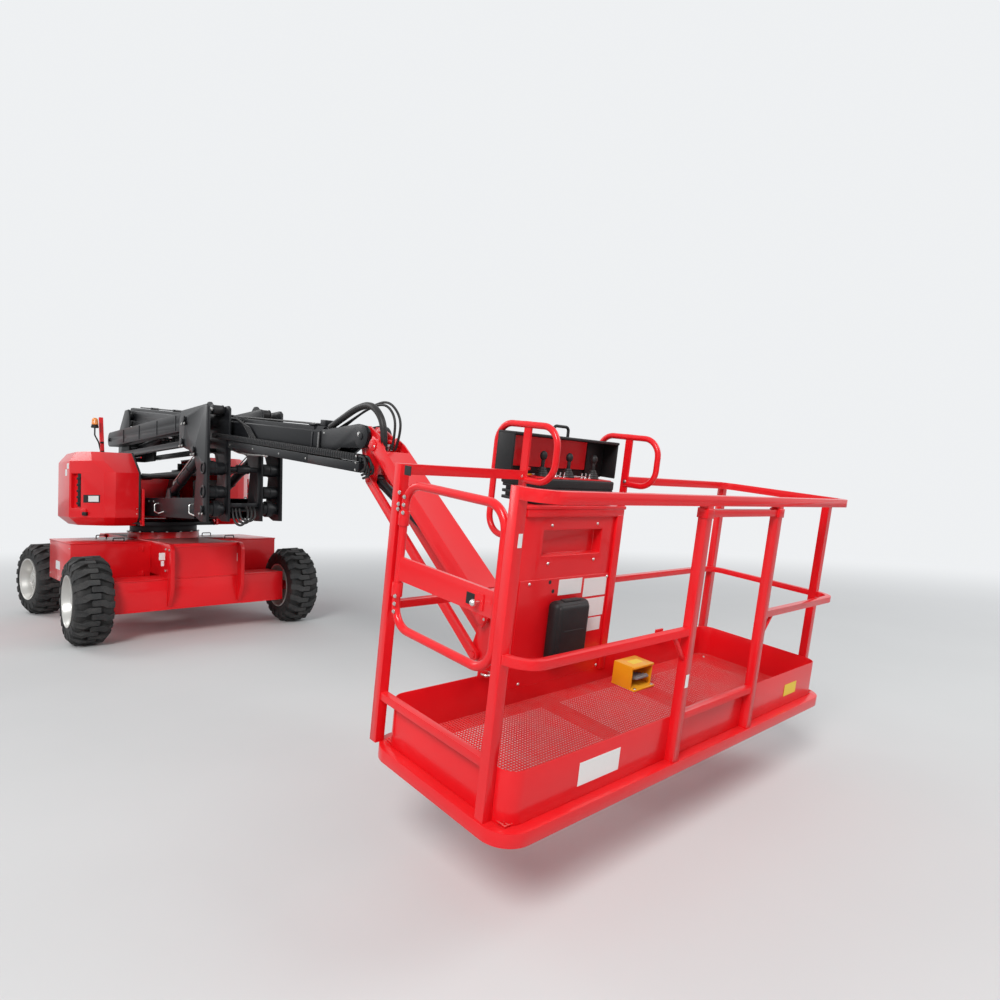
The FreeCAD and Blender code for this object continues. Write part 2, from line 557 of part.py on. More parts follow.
weight = plate("Weight", "XY", (
    ("weight_front", "-weight_half_width"), ("weight_front", "weight_half_width"),
    ("weight_rear", "weight_half_width"), ("weight_rear", "-weight_half_width")),
    "weight_top - deck_bottom - deck_thick", "(weight_top + deck_bottom + deck_thick) / 2",
    rounds=(((2, 3), "weight_round"),))
weight_slot = box("WeightSlot", ("weight_rear + 90", "weight_front + 1"),
                  ("-upright_inner - upright_thick - 20", "upright_inner + upright_thick + 20"),
                  ("deck_bottom", "weight_top + 1"))
node("counterweight", [weight], [weight_slot])

engine = box("Engine", ("-engine_length / 2 - 150", "engine_length / 2 - 150"),
             ("hood_inner + 60", "hood_inner + 60 + engine_width"),
             ("deck_bottom + deck_thick", "deck_bottom + deck_thick + engine_height"))
node("engine_block", [engine])

# Hoods: thin shells, open towards the linkage and below, hinged along their top inner edge.
for side, sign in (("right", -1), ("left", 1)):
    def hood_solid(name, inset, inner_edge, low, high):
        return plate(name, "XY", (
            ("hood_rear + 180 + %s" % inset, inner_edge), ("hood_front - %s" % inset, inner_edge),
            ("hood_front - %s" % inset, "hood_inner + 270"),
            ("hood_front - 130 - %s" % inset, "hood_inner + 425 - %s" % inset),
            ("90 - %s" % inset, "hood_side - %s" % inset), ("hood_rear + 400", "hood_side - %s" % inset),
            ("hood_rear + %s" % inset, "hood_side - 230 - %s" % inset),
            ("hood_rear + %s" % inset, "hood_inner + 260")), "(%s) - (%s)" % (high, low),
            "((%s) + (%s)) / 2" % (high, low))
    outer = hood_solid("HoodOuter_" + side, "0.001", "hood_inner", "deck_bottom", "hood_top")
    inner = hood_solid("HoodInner_" + side, "hood_wall", "hood_inner - 5", "deck_bottom - 1",
                       "hood_top - hood_wall")
    shell = cut("HoodShell_" + side, outer, [inner])
    span = ("hinge_rear + hinge_lug / 2 + running_gap", "hinge_front - hinge_lug / 2 - running_gap")
    leaf = box("HoodLeaf_" + side, span, (HINGE[0], "hood_inner + 1"), ("hood_top - hood_wall", "hood_top"))
    barrel = rod("HoodHinge_" + side, "X", "hinge_radius", span[0], span[1], HINGE)
    bore = rod("HoodHingeBore_" + side, "X", "hinge_pin + bearing_gap", "hinge_rear", "hinge_front", HINGE)
    whole = cut("HoodWhole_" + side, fuse("HoodParts_" + side, [shell, leaf, barrel]), [bore])
    node("hood_" + side, [whole if sign > 0 else mirrored("HoodFlip_" + side, whole)])

# Lower riser arm, in its own frame: rear pin at the origin, front pin at arm_length.
lower = beam("LowerArm", ("130", "arm_length - lower_arm_stop"), "lower_arm_half_width",
             ("-lower_arm_half_depth", "lower_arm_half_depth"), "arm_wall")
lower_items = [lower]
for side, sign in (("Right", "-"), ("Left", "")):
    for end, x in (("Rear", ("-70", "135")), ("Front", ("arm_length - lower_arm_stop - 5", "arm_length"))):
        fork = plate("Fork" + side + end, "XZ", (
            (x[0], "-70"), (x[1], "-70"), (x[1], "70"), (x[0], "70")), "2 * fork_half",
            sign + "lane_centre")
        lower_items.append(fork)
    lower_items.append(rod("ForkEye" + side, "Y", "80", "%slane_centre - fork_half" % sign,
                           "%slane_centre + fork_half" % sign, ("arm_length", "0")))
    for lane in ("37", "-37"):
        lower_items.append(plate("RamLug%s%s" % (side, lane.strip("-")) + ("In" if lane[0] == "-" else ""),
                                 "XZ", (
            ("riser_eye_x - arm_x - 120", "lower_arm_half_depth - 1"),
            ("riser_eye_x - arm_x + 60", "lower_arm_half_depth - 1"),
            ("riser_eye_x - arm_x + 30", "riser_eye_rise + 40"),
            ("riser_eye_x - arm_x - 40", "riser_eye_rise + 40")), "16",
            "%slane_centre + %s" % (sign, lane)))
    lower_items.append(rod("RamPin" + side, "Y", "pin_radius", "%slane_centre - 44" % sign,
                           "%slane_centre + 44" % sign,
                           ("riser_eye_x - arm_x", "riser_eye_z - arm_z")))
EYE = "pin_radius + bearing_gap"
lower_tools = [rod("LowerBore%d" % n, "Y", EYE, "-lower_arm_half_width - 50",
                   "lower_arm_half_width + 50", (x, "0")) for n, x in enumerate(("0", "arm_length"))]
node("lower_riser_arm", lower_items, lower_tools, x="arm_x", z="arm_z")

link = box("TowerLink", ("0", "arm_length"), ("-tower_link_half_width", "tower_link_half_width"),
           ("-link_half_depth", "link_half_depth"))
link_eyes = [rod("TowerEye%d" % n, "Y", "pin_radius + hub_wall", "-tower_link_half_width",
                 "tower_link_half_width", (x, "0")) for n, x in enumerate(("0", "arm_length"))]
link_bores = [rod("TowerBore%d" % n, "Y", EYE, "-tower_link_half_width - 1",
                  "tower_link_half_width + 1", (x, "0")) for n, x in enumerate(("0", "arm_length"))]
node("lower_link", [link] + link_eyes, link_bores, x="tower_link_x", z="tower_link_z")

# Knuckle that joins the two riser arms: four plates, cross tubes and pins. Own frame at the
# lower arm's front pin.
KNUCKLE = (("-640", "990"), ("-700", "900"), ("-700", "640"), ("-420", "580"), ("-270", "540"),
           ("-180", "370"), ("-220", "160"), ("-240", "0"), ("-240", "-60"), ("-60", "-120"),
           ("100", "-120"), ("100", "960"), ("60", "990"))
knuckle_items = []
for side, sign in (("Right", "-"), ("Left", "")):
    knuckle_items.append(plate("KnuckleOuter" + side, "XZ", KNUCKLE, "knuckle_plate",
                               "%s(knuckle_outer + knuckle_plate / 2)" % sign))
    knuckle_items.append(plate("KnuckleInner" + side, "XZ", KNUCKLE, "inner_plate",
                               "%s(knuckle_inner + inner_plate / 2)" % sign))
TUBE_END = "knuckle_outer + knuckle_plate"
for n, z in enumerate(("tower_link_dz", "163")):
    knuckle_items.append(rod("CrossTube%d" % n, "Y", "cross_tube_radius", "knuckle_inner", TUBE_END,
                             ("tower_link_dx", z)))
    knuckle_items.append(rod("CrossTubeR%d" % n, "Y", "cross_tube_radius", "-(%s)" % TUBE_END,
                             "-knuckle_inner", ("tower_link_dx", z)))
pins = (("0", "0"), ("tower_link_dx", "tower_link_dz"), ("upper_pin_dx", "upper_pin_dz"),
        ("upper_pin_dx + upper_link_dx", "upper_pin_dz + upper_link_dz"))
for n, at in enumerate(pins):
    if n in (0, 1):
        knuckle_items.append(rod("KnucklePin%d" % n, "Y", "pin_radius", "-(%s) - 8" % TUBE_END,
                                 "%s + 8" % TUBE_END, at))
    else:
        knuckle_items.append(rod("KnucklePinR%d" % n, "Y", "pin_radius", "-(%s) - 8" % TUBE_END,
                                 "-knuckle_inner", at))
        knuckle_items.append(rod("KnucklePinL%d" % n, "Y", "pin_radius", "knuckle_inner",
                                 "%s + 8" % TUBE_END, at))
for side, span in (("R", ("-(%s) - 8" % TUBE_END, "-knuckle_outer")), ("L", ("knuckle_outer", "%s + 8" % TUBE_END))):
    knuckle_items.append(rod("RamPinHead" + side, "Y", "pin_radius", span[0], span[1],
                             ("riser_rod_x - knuckle_pin_x", "riser_rod_z - knuckle_pin_z")))
node("knuckle", knuckle_items, x="knuckle_pin_x", z="knuckle_pin_z")

# Upper riser arms and links, in their own frames: front pin at the origin, reaching backwards.
for label, name, half_width, half_depth, x, z in (
        ("upper_riser_arms", "UpperArm", "upper_arm_half_width", "upper_arm_half_depth",
         "upper_pin_x", "upper_pin_z"),
        ("upper_links", "UpperLink", "fork_half", "link_half_depth", "upper_link_x", "upper_link_z")):
    items, tools = [], []
    for side, sign in (("Right", "-"), ("Left", "")):
        items.append(box(name + side, ("-arm_length", "0"),
                         ("%slane_centre - %s" % (sign, half_width),
                          "%slane_centre + %s" % (sign, half_width)),
                         ("-(%s)" % half_depth, half_depth)))
        for n, at in enumerate(("0", "-arm_length")):
            items.append(rod("%sEye%s%d" % (name, side, n), "Y", half_depth if n < 2 else half_depth,
                             "%slane_centre - %s" % (sign, half_width),
                             "%slane_centre + %s" % (sign, half_width), (at, "0")))
            tools.append(rod("%sBore%s%d" % (name, side, n), "Y", EYE,
                             "%slane_centre - %s - 1" % (sign, half_width),
                             "%slane_centre + %s + 1" % (sign, half_width), (at, "0")))
    if label == "upper_riser_arms":
        for side, sign in (("Right", "-"), ("Left", "")):
            tools.append(box(name + "Hollow" + side, ("150 - arm_length", "-150"),
                             ("%slane_centre - %s + arm_wall" % (sign, half_width),
                              "%slane_centre + %s - arm_wall" % (sign, half_width)),
                             ("arm_wall - %s" % half_depth, "%s - arm_wall" % half_depth)))
    node(label, items, tools, x=x, z=z)

# Riser head at the upper arms' rear pins, which holds the main boom and its ram.
HEAD_SIDE = (("-180", "-280"), ("320", "-280"), ("360", "-160"), ("boom_pin_dx + 110", "boom_pin_dz"),
             ("boom_pin_dx + 60", "boom_pin_dz + 90"), ("boom_pin_dx - 100", "boom_pin_dz + 90"),
             ("-180", "120"))
head_items = [plate("HeadPlate" + side, "XZ", HEAD_SIDE, "inner_plate",
                    "%s(knuckle_inner + inner_plate / 2)" % sign) for side, sign in (("Right", "-"), ("Left", ""))]
head_items.append(box("HeadBack", ("-180", "-155"), ("-knuckle_inner - 1", "knuckle_inner + 1"),
                      ("-280", "120")))
LANE_END = "lane_centre + upper_arm_half_width + 15"
for n, at in enumerate((("0", "0"), ("upper_link_dx", "upper_link_dz"))):
    head_items.append(rod("HeadPinR%d" % n, "Y", "pin_radius", "-(%s)" % LANE_END, "-knuckle_inner", at))
    head_items.append(rod("HeadPinL%d" % n, "Y", "pin_radius", "knuckle_inner", LANE_END, at))
for n, at in enumerate((("boom_pin_dx", "boom_pin_dz"), ("lift_eye_dx", "lift_eye_dz + boom_pin_dz"))):
    head_items.append(rod("HeadCross%d" % n, "Y", "pin_radius", "-knuckle_inner - inner_plate",
                          "knuckle_inner + inner_plate", at))
node("riser_head", head_items, x="head_x", z="head_z")

# Rams: barrel and rod in one frame, eye at the origin, reaching along X. The rod runs inside
# the barrel's bore.


def ram(label, barrel_radius, rod_radius, half_eye, lanes=("0",), pin="pin_radius", rod_from="110",
        pin_reach=None):
    length = label + "_length"
    barrels, bores, rods = [], [], []
    for n, lane in enumerate(lanes):
        name = "%s%d" % (label, n)
        wide = ("%s - %s" % (lane, half_eye), "%s + %s" % (lane, half_eye))
        barrels.append(rod(name + "Barrel", "X", barrel_radius, "60", length + " - 110", (lane, "0")))
        barrels.append(rod(name + "Eye", "Y", pin + " + hub_wall", *wide))
        barrels.append(box(name + "Neck", (pin + " + 5", "61"), wide, ("-pin_radius", "pin_radius")))
        bores.append(rod(name + "BarrelBore", "X", rod_radius + " + running_gap", "100",
                         length + " - 109", (lane, "0")))
        bores.append(rod(name + "EyeBore", "Y", pin + " + bearing_gap", wide[0] + " - 1", wide[1] + " + 1"))
        rods.append(rod(name + "Rod", "X", rod_radius, rod_from, length + " - 10", (lane, "0")))
        rods.append(rod(name + "RodEye", "Y", pin + " + hub_wall", wide[0], wide[1], (length, "0")))
        if pin_reach is not None:
            span = ("%s - %s" % (lane, pin_reach[0]), "%s + %s" % (lane, pin_reach[1]))
            if lane.startswith("-"):
                span = ("%s - %s" % (lane, pin_reach[1]), "%s + %s" % (lane, pin_reach[0]))
            rods.append(rod(name + "RodPin", "Y", pin, span[0], span[1], (length, "0")))
    place = {"x": label + "_x", "z": label + "_z", "pitch": label + "_tilt"}
    node(label + "_barrel", barrels, bores, **place)
    node(label + "_rod", rods, **place)


# The riser rams' rod pins reach across between the knuckle's plates.
ram("riser_ram", "riser_barrel_radius", "riser_rod_radius", "27", ("-lane_centre", "lane_centre"),
    pin_reach=("(lane_centre - knuckle_inner - inner_plate - running_gap)",
               "(knuckle_outer - running_gap - lane_centre)"))
ram("lift_ram", "lift_barrel_radius", "lift_rod_radius", "40")
ram("jib_ram", "jib_barrel_radius", "jib_rod_radius", "30", pin="jib_pin_radius", rod_from="175")

# Main boom, in its own frame: rear pin at the origin, axis along X.
main_tube = beam("MainTube", ("-boom_tail", "boom_length"), "boom_half_width",
                 ("-boom_half_depth", "boom_half_depth"), "boom_wall")
collar = cut("Collar", box("CollarOuter", ("boom_length - 120", "boom_length"),
                           ("1 - boom_half_width", "boom_half_width - 1"),
                           ("1 - boom_half_depth", "boom_half_depth - 1")),
             [box("CollarInner", ("boom_length - 121", "boom_length + 1"),
                  ("-fly_half_width - running_gap", "fly_half_width + running_gap"),
                  ("-fly_half_depth - running_gap", "fly_half_depth + running_gap"))])
boom_eye = rod("BoomEye", "Y", "pin_radius + 40", "1 - boom_half_width", "boom_half_width - 1")
lift_lugs = [box("LiftLug%d" % n, ("lift_rod_reach - 60", "lift_rod_reach + 60"), wide,
                 ("-lift_rod_drop - 50", "1 - boom_half_depth"))
             for n, wide in enumerate((("42", "62"), ("-62", "-42")))]
lift_heads = [rod("LiftPinHead%d" % n, "Y", "pin_radius", wide[0], wide[1],
                  ("lift_rod_reach", "-lift_rod_drop")) for n, wide in enumerate((("61", "72"), ("-72", "-61")))]
node("main_boom", [main_tube, collar, boom_eye] + lift_lugs + lift_heads,
     [rod("BoomBore", "Y", EYE, "-boom_half_width - 1", "boom_half_width + 1")],
     x="boom_x", z="boom_z", pitch="boom_pitch")

# Hose tray along the boom's right side, under its front half.
tray = cut("Tray", box("TrayOuter", ("tray_start", "tray_end"),
                       ("-boom_half_width - tray_width", "-boom_half_width - running_gap"),
                       ("-boom_half_depth - 45", "tray_depth - boom_half_depth - 45")),
           [box("TrayInner", ("tray_start - 1", "tray_end + 1"),
                ("8 - boom_half_width - tray_width", "-boom_half_width - 8"),
                ("8 - boom_half_depth - 45", "tray_depth - boom_half_depth - 53"))])
node("hose_tray", [tray], x="boom_x", z="boom_z", pitch="boom_pitch")

fly = beam("Fly", ("fly_tail", "fly_end"), "fly_half_width", ("-fly_half_depth", "fly_half_depth"),
           "fly_wall")
slippers = cut("Slippers", box("SlipperOuter", ("fly_tail", "fly_tail + 120"),
                               ("boom_wall + running_gap - boom_half_width",
                                "boom_half_width - boom_wall - running_gap"),
                               ("boom_wall + running_gap - boom_half_depth",
                                "boom_half_depth - boom_wall - running_gap")),
               [box("SlipperInner", ("fly_tail - 1", "fly_tail + 121"),
                    ("1 - fly_half_width", "fly_half_width - 1"),
                    ("1 - fly_half_depth", "fly_half_depth - 1"))])
ears = [plate("Ear" + side, "XZ", (
    ("fly_end - 180", "15 - fly_half_depth"), ("fly_end - 10", "15 - fly_half_depth"),
    ("fly_end + 110", "tip_rise - ear_radius - 10"),
    ("tip_reach + 40", "tip_rise - ear_radius + 10"), ("tip_reach + 85", "tip_rise - 40"),
    ("tip_reach + 85", "tip_rise + 40"), ("tip_reach + 40", "tip_rise + ear_radius - 10"),
    ("tip_reach - 60", "tip_rise + ear_radius"), ("fly_end - 180", "fly_half_depth - 10")),
    "ear_thick", "%s(fly_half_width + ear_thick / 2 - 1)" % sign)
    for side, sign in (("Right", "-"), ("Left", ""))]
tip_pin = rod("TipPin", "Y", "pin_radius", "-fly_half_width - ear_thick - 12",
              "fly_half_width + ear_thick + 12", ("tip_reach", "tip_rise"))
node("fly_boom", [fly, slippers, tip_pin] + ears, x="boom_x", z="boom_z", pitch="boom_pitch")

# Tip bracket between the fly boom and the jib, its frame at the tip pin.
BRACKET = (("-75", "40"), ("-30", "80"), ("40", "75"), ("jib_pin_dx + 50", "jib_pin_dz + 45"),
           ("jib_pin_dx + 60", "jib_pin_dz - 30"), ("jib_foot_dx + 60", "jib_foot_dz + 60"),
           ("jib_foot_dx + 45", "jib_foot_dz - 30"), ("jib_foot_dx - 20", "jib_foot_dz - 45"),
           ("jib_foot_dx - 60", "jib_foot_dz - 10"), ("-75", "-40"))
bracket_items = [plate("Bracket" + side, "XZ", BRACKET, "bracket_plate",
                       "%s(bracket_inner + bracket_plate / 2)" % sign)
                 for side, sign in (("Right", "-"), ("Left", ""))]
bracket_items.append(rod("BracketHub", "Y", "pin_radius + 22", "-fly_half_width + 2",
                         "fly_half_width - 2"))
bracket_items.append(rod("JibPin", "Y", "jib_pin_radius", "-jib_half_width - 8", "jib_half_width + 8",
                         ("jib_pin_dx", "jib_pin_dz")))
bracket_items.append(rod("JibLinkPin", "Y", "jib_pin_radius", "-link_bar_inner - link_bar - 6",
                         "link_bar_inner + link_bar + 6", ("jib_foot_dx", "jib_foot_dz")))
node("tip_bracket", bracket_items, [rod("TipBore", "Y", EYE, "-100", "100")], x="tip_x", z="tip_z")

# Jib arm: an inverted channel over its link, rear pin at the origin.
arm_sides = [plate("JibSide" + side, "XZ", (
    ("-45", "-45"), ("jib_length + 45", "-45"), ("jib_length + 45", "45"),
    ("jib_length - 60", "jib_half_depth"), ("60", "jib_half_depth"), ("-45", "45")),
    "jib_plate", "%s(jib_half_width - jib_plate / 2)" % sign)
    for side, sign in (("Right", "-"), ("Left", ""))]
arm_top = box("JibTop", ("jib_end", "jib_length - jib_end"), ("1 - jib_half_width", "jib_half_width - 1"),
              ("jib_half_depth - jib_plate", "jib_half_depth"))
arm_lugs = [box("JibRamLug%d" % n, ("jib_rod_reach - 40", "jib_rod_reach + 40"), wide,
                ("-jib_rod_drop - 30", "jib_half_depth - 1"))
            for n, wide in enumerate((("32", "44"), ("-44", "-32")))]
arm_heads = [rod("JibRamPinHead%d" % n, "Y", "jib_pin_radius", wide[0], wide[1],
                 ("jib_rod_reach", "-jib_rod_drop")) for n, wide in enumerate((("43", "52"), ("-52", "-43")))]
SMALL_EYE = "jib_pin_radius + bearing_gap"
node("jib_arm", arm_sides + [arm_top] + arm_heads + arm_lugs,
     [rod("JibBore%d" % n, "Y", SMALL_EYE, "-120", "120", (x, "0")) for n, x in enumerate(("0", "jib_length"))],
     x="jib_x", z="jib_z", pitch="jib_pitch")

bars, bar_bores = [], []
for side, wide in (("Right", ("-link_bar_inner - link_bar", "-link_bar_inner")),
                   ("Left", ("link_bar_inner", "link_bar_inner + link_bar"))):
    bars.append(box("JibLink" + side, ("0", "jib_length"), wide,
                    ("-jib_link_half_depth", "jib_link_half_depth")))
    for n, x in enumerate(("0", "jib_length")):
        bars.append(rod("JibLinkEye%s%d" % (side, n), "Y", "jib_link_half_depth", wide[0], wide[1], (x, "0")))
for n, x in enumerate(("0", "jib_length")):
    bar_bores.append(rod("JibLinkBore%d" % n, "Y", SMALL_EYE, "-120", "120", (x, "0")))
node("jib_links", bars, bar_bores, x="jib_link_x", z="jib_link_z", pitch="jib_pitch")

# Platform support at the jib's lower end, with the rotator that turns the platform. Its frame
# is at the jib arm's lower pin, pitched with the platform.
SUPPORT = (("-50", "-40"), ("-50", "30"), ("60", "60"), ("rotator_ahead - 60", "60"),
           ("rotator_ahead - 60", "-110"), ("20", "-270"), ("-80", "-290"), ("-110", "-230"))
support_items = [plate("Support" + side, "XZ", SUPPORT, "bracket_plate",
                       "%s(bracket_inner + bracket_plate / 2)" % sign)
                 for side, sign in (("Right", "-"), ("Left", ""))]
support_items.append(rod("SupportPin", "Y", "jib_pin_radius", "-jib_half_width - 8", "jib_half_width + 8"))
SUPPORT_LINK = ("jib_link_dx * cos(platform_pitch * 1deg) - jib_link_dz * sin(platform_pitch * 1deg)",
                "jib_link_dz * cos(platform_pitch * 1deg) + jib_link_dx * sin(platform_pitch * 1deg)")
support_items.append(rod("SupportLinkPin", "Y", "jib_pin_radius", "-link_bar_inner - link_bar - 6",
                         "link_bar_inner + link_bar + 6", SUPPORT_LINK))
support_items.append(rod("RotatorBody", "Z", "rotator_radius", "rotator_base + head_top + running_gap",
                         "rotator_base + head_top + rotator_height", ("rotator_ahead", "0")))
support_items.append(rod("RotatorShaft", "Z", "spindle_radius", "rotator_base - base_rail",
                         "rotator_base + head_top + 1", ("rotator_ahead", "0")))
node("platform_support", support_items, x="support_x", z="support_z", pitch="platform_pitch")

# Platform, in its own frame: origin at the foot of the front right post, X ahead, Y across.
REAR = "-platform_depth"
FAR = "platform_length"
PLACE = {"x": "platform_x", "y": "platform_y", "z": "platform_z", "pitch": "platform_pitch"}
BEND = "0.6 * corner_bend"


def run(points):
    return [tuple(size(value) for value in point) for point in points]


base = feature("BaseRail", bent_tube(run((
    ("rail_ahead", "0", "-base_rail / 2"), ("rail_ahead", FAR, "-base_rail / 2"),
    (REAR, FAR, "-base_rail / 2"), (REAR, "0", "-base_rail / 2"))),
    size(BEND), size("base_rail / 2"), closed=True))
joists = [box("Joist%d" % n, (REAR, "rail_ahead"), (at + " - 20", at + " + 20"),
              ("-base_rail", "-running_gap")) for n, at in enumerate(("post_c", "post_d"))]
mount_beam = box("MountBeam", ("rotator_x", REAR), ("-platform_y - 90", "90 - platform_y"),
                 ("-base_rail", "-5"))
mount_head = rod("MountHead", "Z", "rotator_radius", "-base_rail", "head_top", ("rotator_x", "-platform_y"))
mount_bore = rod("MountBore", "Z", "spindle_radius + bearing_gap", "-base_rail - 1", "head_top + 1",
                 ("rotator_x", "-platform_y"))
node("platform_base", [base, mount_beam, mount_head] + joists, [mount_bore], **PLACE)

INSET = "(post / 2 + toe_thick / 2 + running_gap)"
floor_x = (REAR + " + %s + toe_thick" % INSET, "rail_ahead - toe_thick - " + INSET)
floor_y = (INSET + " + toe_thick", "%s - toe_thick - %s" % (FAR, INSET))
floor = plate("Floor", "XY", ((floor_x[0], floor_y[0]), (floor_x[1], floor_y[0]), (floor_x[1], floor_y[1]),
                              (floor_x[0], floor_y[1])), "floor_thick", "floor_thick / 2",
              rounds=(((0, 1, 2, 3), "%s - %s - toe_thick" % (BEND, INSET)),))
node("platform_floor", [floor], **PLACE)

toe_line = run((("rail_ahead - " + INSET, INSET, "0"), ("rail_ahead - " + INSET, FAR + " - " + INSET, "0"),
                (REAR + " + " + INSET, FAR + " - " + INSET, "0"), (REAR + " + " + INSET, INSET, "0")))
toe_wire = bent_path([Vector(*point) for point in toe_line], size(BEND) - size(INSET), True)
toe_outer = Part.Face(toe_wire.makeOffset2D(size("toe_thick / 2")))
toe_inner = Part.Face(toe_wire.makeOffset2D(-size("toe_thick / 2")))
toe_wall = toe_outer.cut(toe_inner).extrude(Vector(0, 0, size("toe_height")))
node("toe_boards", [feature("ToeBoard", toe_wall)], **PLACE)

posts = []
for name, at in (("A", (REAR, "0")), ("B", ("0", "0")), ("C", ("rail_ahead", "post_c")),
                 ("D", ("rail_ahead", "post_d")), ("E", ("0", FAR)), ("F", (REAR, FAR))):
    posts.append(box("Post" + name, ("%s - post / 2" % at[0], "%s + post / 2" % at[0]),
                     ("%s - post / 2" % at[1], "%s + post / 2" % at[1]), ("0", "rail_height - 1")))
TOP = "rail_height - post / 2"
PANEL_LEFT = "panel_end + guard_gap"
PANEL_RIGHT = "panel_start - guard_gap"
half_post = size("post / 2")
rails = [feature("Rail%d" % n, bent_tube(run(points), size(BEND), half_post * scale))
         for n, (scale, points) in enumerate((
             (1, (("-post / 2", "0", TOP), ("rail_ahead", "0", TOP), ("rail_ahead", FAR, TOP),
                  (REAR, FAR, TOP), (REAR, PANEL_LEFT, TOP))),
             (0.75, (("0", "0", "mid_height"), ("rail_ahead", "0", "mid_height"),
                     ("rail_ahead", "post_c", "mid_height"))),
             (0.75, (("rail_ahead", "post_d", "mid_height"), ("rail_ahead", FAR, "mid_height"),
                     (REAR, FAR, "mid_height"), (REAR, PANEL_LEFT, "mid_height")))))]
for n, (low, high) in enumerate((("mid_height - 15", "mid_height + 15"),
                                 ("rail_height - post", "rail_height"))):
    rails.append(box("RearRail%d" % n, (REAR + " - 15", REAR + " + 15"), ("-post / 2", PANEL_RIGHT),
                     (low, high)))
rails.append(box("StepRail0", (REAR, "0"), ("-15", "15"), ("toe_height - 10", "toe_height + 20")))
rails.append(box("StepRail1", ("rail_ahead - 15", "rail_ahead + 15"), ("post_c", "post_d"),
                 ("toe_height - 10", "toe_height + 20")))

# Guards each side of the console: a tall flat bar and two bent tubes, on the rear rails.
for n, at in enumerate((PANEL_RIGHT, PANEL_LEFT)):
    y = size(at)
    rails.append(box("GuardBar%d" % n, (REAR + " - 25", REAR + " + 15"), (at + " - 6", at + " + 6"),
                     ("mid_height - 20", "rail_height + guard_height")))
    for part, ends in enumerate(((REAR, "rail_height + guard_height - guard_radius",
                                  REAR + " + guard_ahead", "rail_height - post"),
                                 (REAR, "rail_height + guard_height - guard_radius",
                                  REAR + " - guard_behind", "guard_low"))):
        x0, z1, x1, z0 = (size(value) for value in ends)
        rails.append(feature("Guard%d%d" % (n, part), bent_tube(
            [(x0, y, z1), (x1, y, z1), (x1, y, z0), (x0, y, z0)], 90, size("guard_radius"), True)))
sleeve_bore = rod("SleeveBore", "Z", "gate_tube + bearing_gap", "gate_bottom", "gate_top",
                  ("gate_hinge_x", "0"))
for n, low in enumerate(("gate_bottom + 115", "gate_top - 160")):
    rails.append(rod("Sleeve%d" % n, "Z", "gate_tube + sleeve_wall", low, low + " + 55", ("gate_hinge_x", "0")))
    rails.append(box("SleeveArm%d" % n, (REAR + " + post / 2 - 1", "gate_hinge_x"), ("-12", "12"),
                     (low, low + " + 55")))
node("guard_rails", posts + rails, [sleeve_bore], **PLACE)

PANEL_FACE = REAR + " + 20"
panel = box("Panel", (PANEL_FACE + " - panel_thick", PANEL_FACE), ("panel_start", "panel_end"),
            ("floor_thick + panel_bottom", "panel_top"))
node("control_box", [panel], **PLACE)
console = box("Console", (PANEL_FACE + " - console_depth", PANEL_FACE),
              ("panel_start + 50", "panel_end - 50"), ("panel_top + running_gap", "panel_top + console_height"))
node("console", [console], **PLACE)

# Drop bar that closes the side entry, held up under the top rail.
drop = box("DropBar", ("rail_ahead - 15", "rail_ahead + 15"), ("post_c", "post_d"),
           ("drop_height - 15", "drop_height + 15"))
collars, openings = [drop], []
for n, at in enumerate(("post_c", "post_d")):
    for items, half, rise in ((collars, "post / 2 + sleeve_wall", "20"), (openings, "post / 2 + running_gap", "30")):
        items.append(box("DropCollar%d_%s" % (n, rise), ("rail_ahead - (%s)" % half, "rail_ahead + (%s)" % half),
                         ("%s - (%s)" % (at, half), "%s + (%s)" % (at, half)),
                         ("drop_height - " + rise, "drop_height + " + rise)))
node("drop_bar", collars, openings, **PLACE)

# Swing gate between the two right-hand posts, its own frame on its hinge line beside the rear
# post. Its rear leg turns in two sleeves on that post.
gate_loop = feature("GateLoop", bent_tube(
    [(0, 0, size("gate_bottom")), (size("gate_length"), 0, size("gate_bottom")),
     (size("gate_length"), 0, size("gate_top")), (0, 0, size("gate_top"))],
    size("gate_bend"), size("gate_tube"), True, True))
gate_plate = box("GatePlate", ("gate_tube - 4", "gate_length - gate_tube + 4"), ("-gate_tube / 2", "gate_tube / 2"),
                 ("mid_height + 110", "mid_height + 200"))
node("gate", [gate_loop, gate_plate], x="platform_x + gate_hinge_x * cos(platform_pitch * 1deg)",
     y="platform_y", z="platform_z - gate_hinge_x * sin(platform_pitch * 1deg)", pitch="platform_pitch")

doc.recompute()
os.makedirs("parts", exist_ok=True)
for item in doc.Objects:
    if {"Invalid", "Error"} & set(item.State):
        raise RuntimeError("%s failed: %s" % (item.Name, item.State))
for item in nodes:
    if item.Shape.isNull() or not item.Shape.isValid():
        raise RuntimeError("%s has no sound shape" % item.Label)
    item.Shape.exportStep("parts/%s.step" % item.Label)
print("%d nodes" % len(nodes))
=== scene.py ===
import json
import math

import bmesh
import bpy
from mathutils import Matrix, Vector


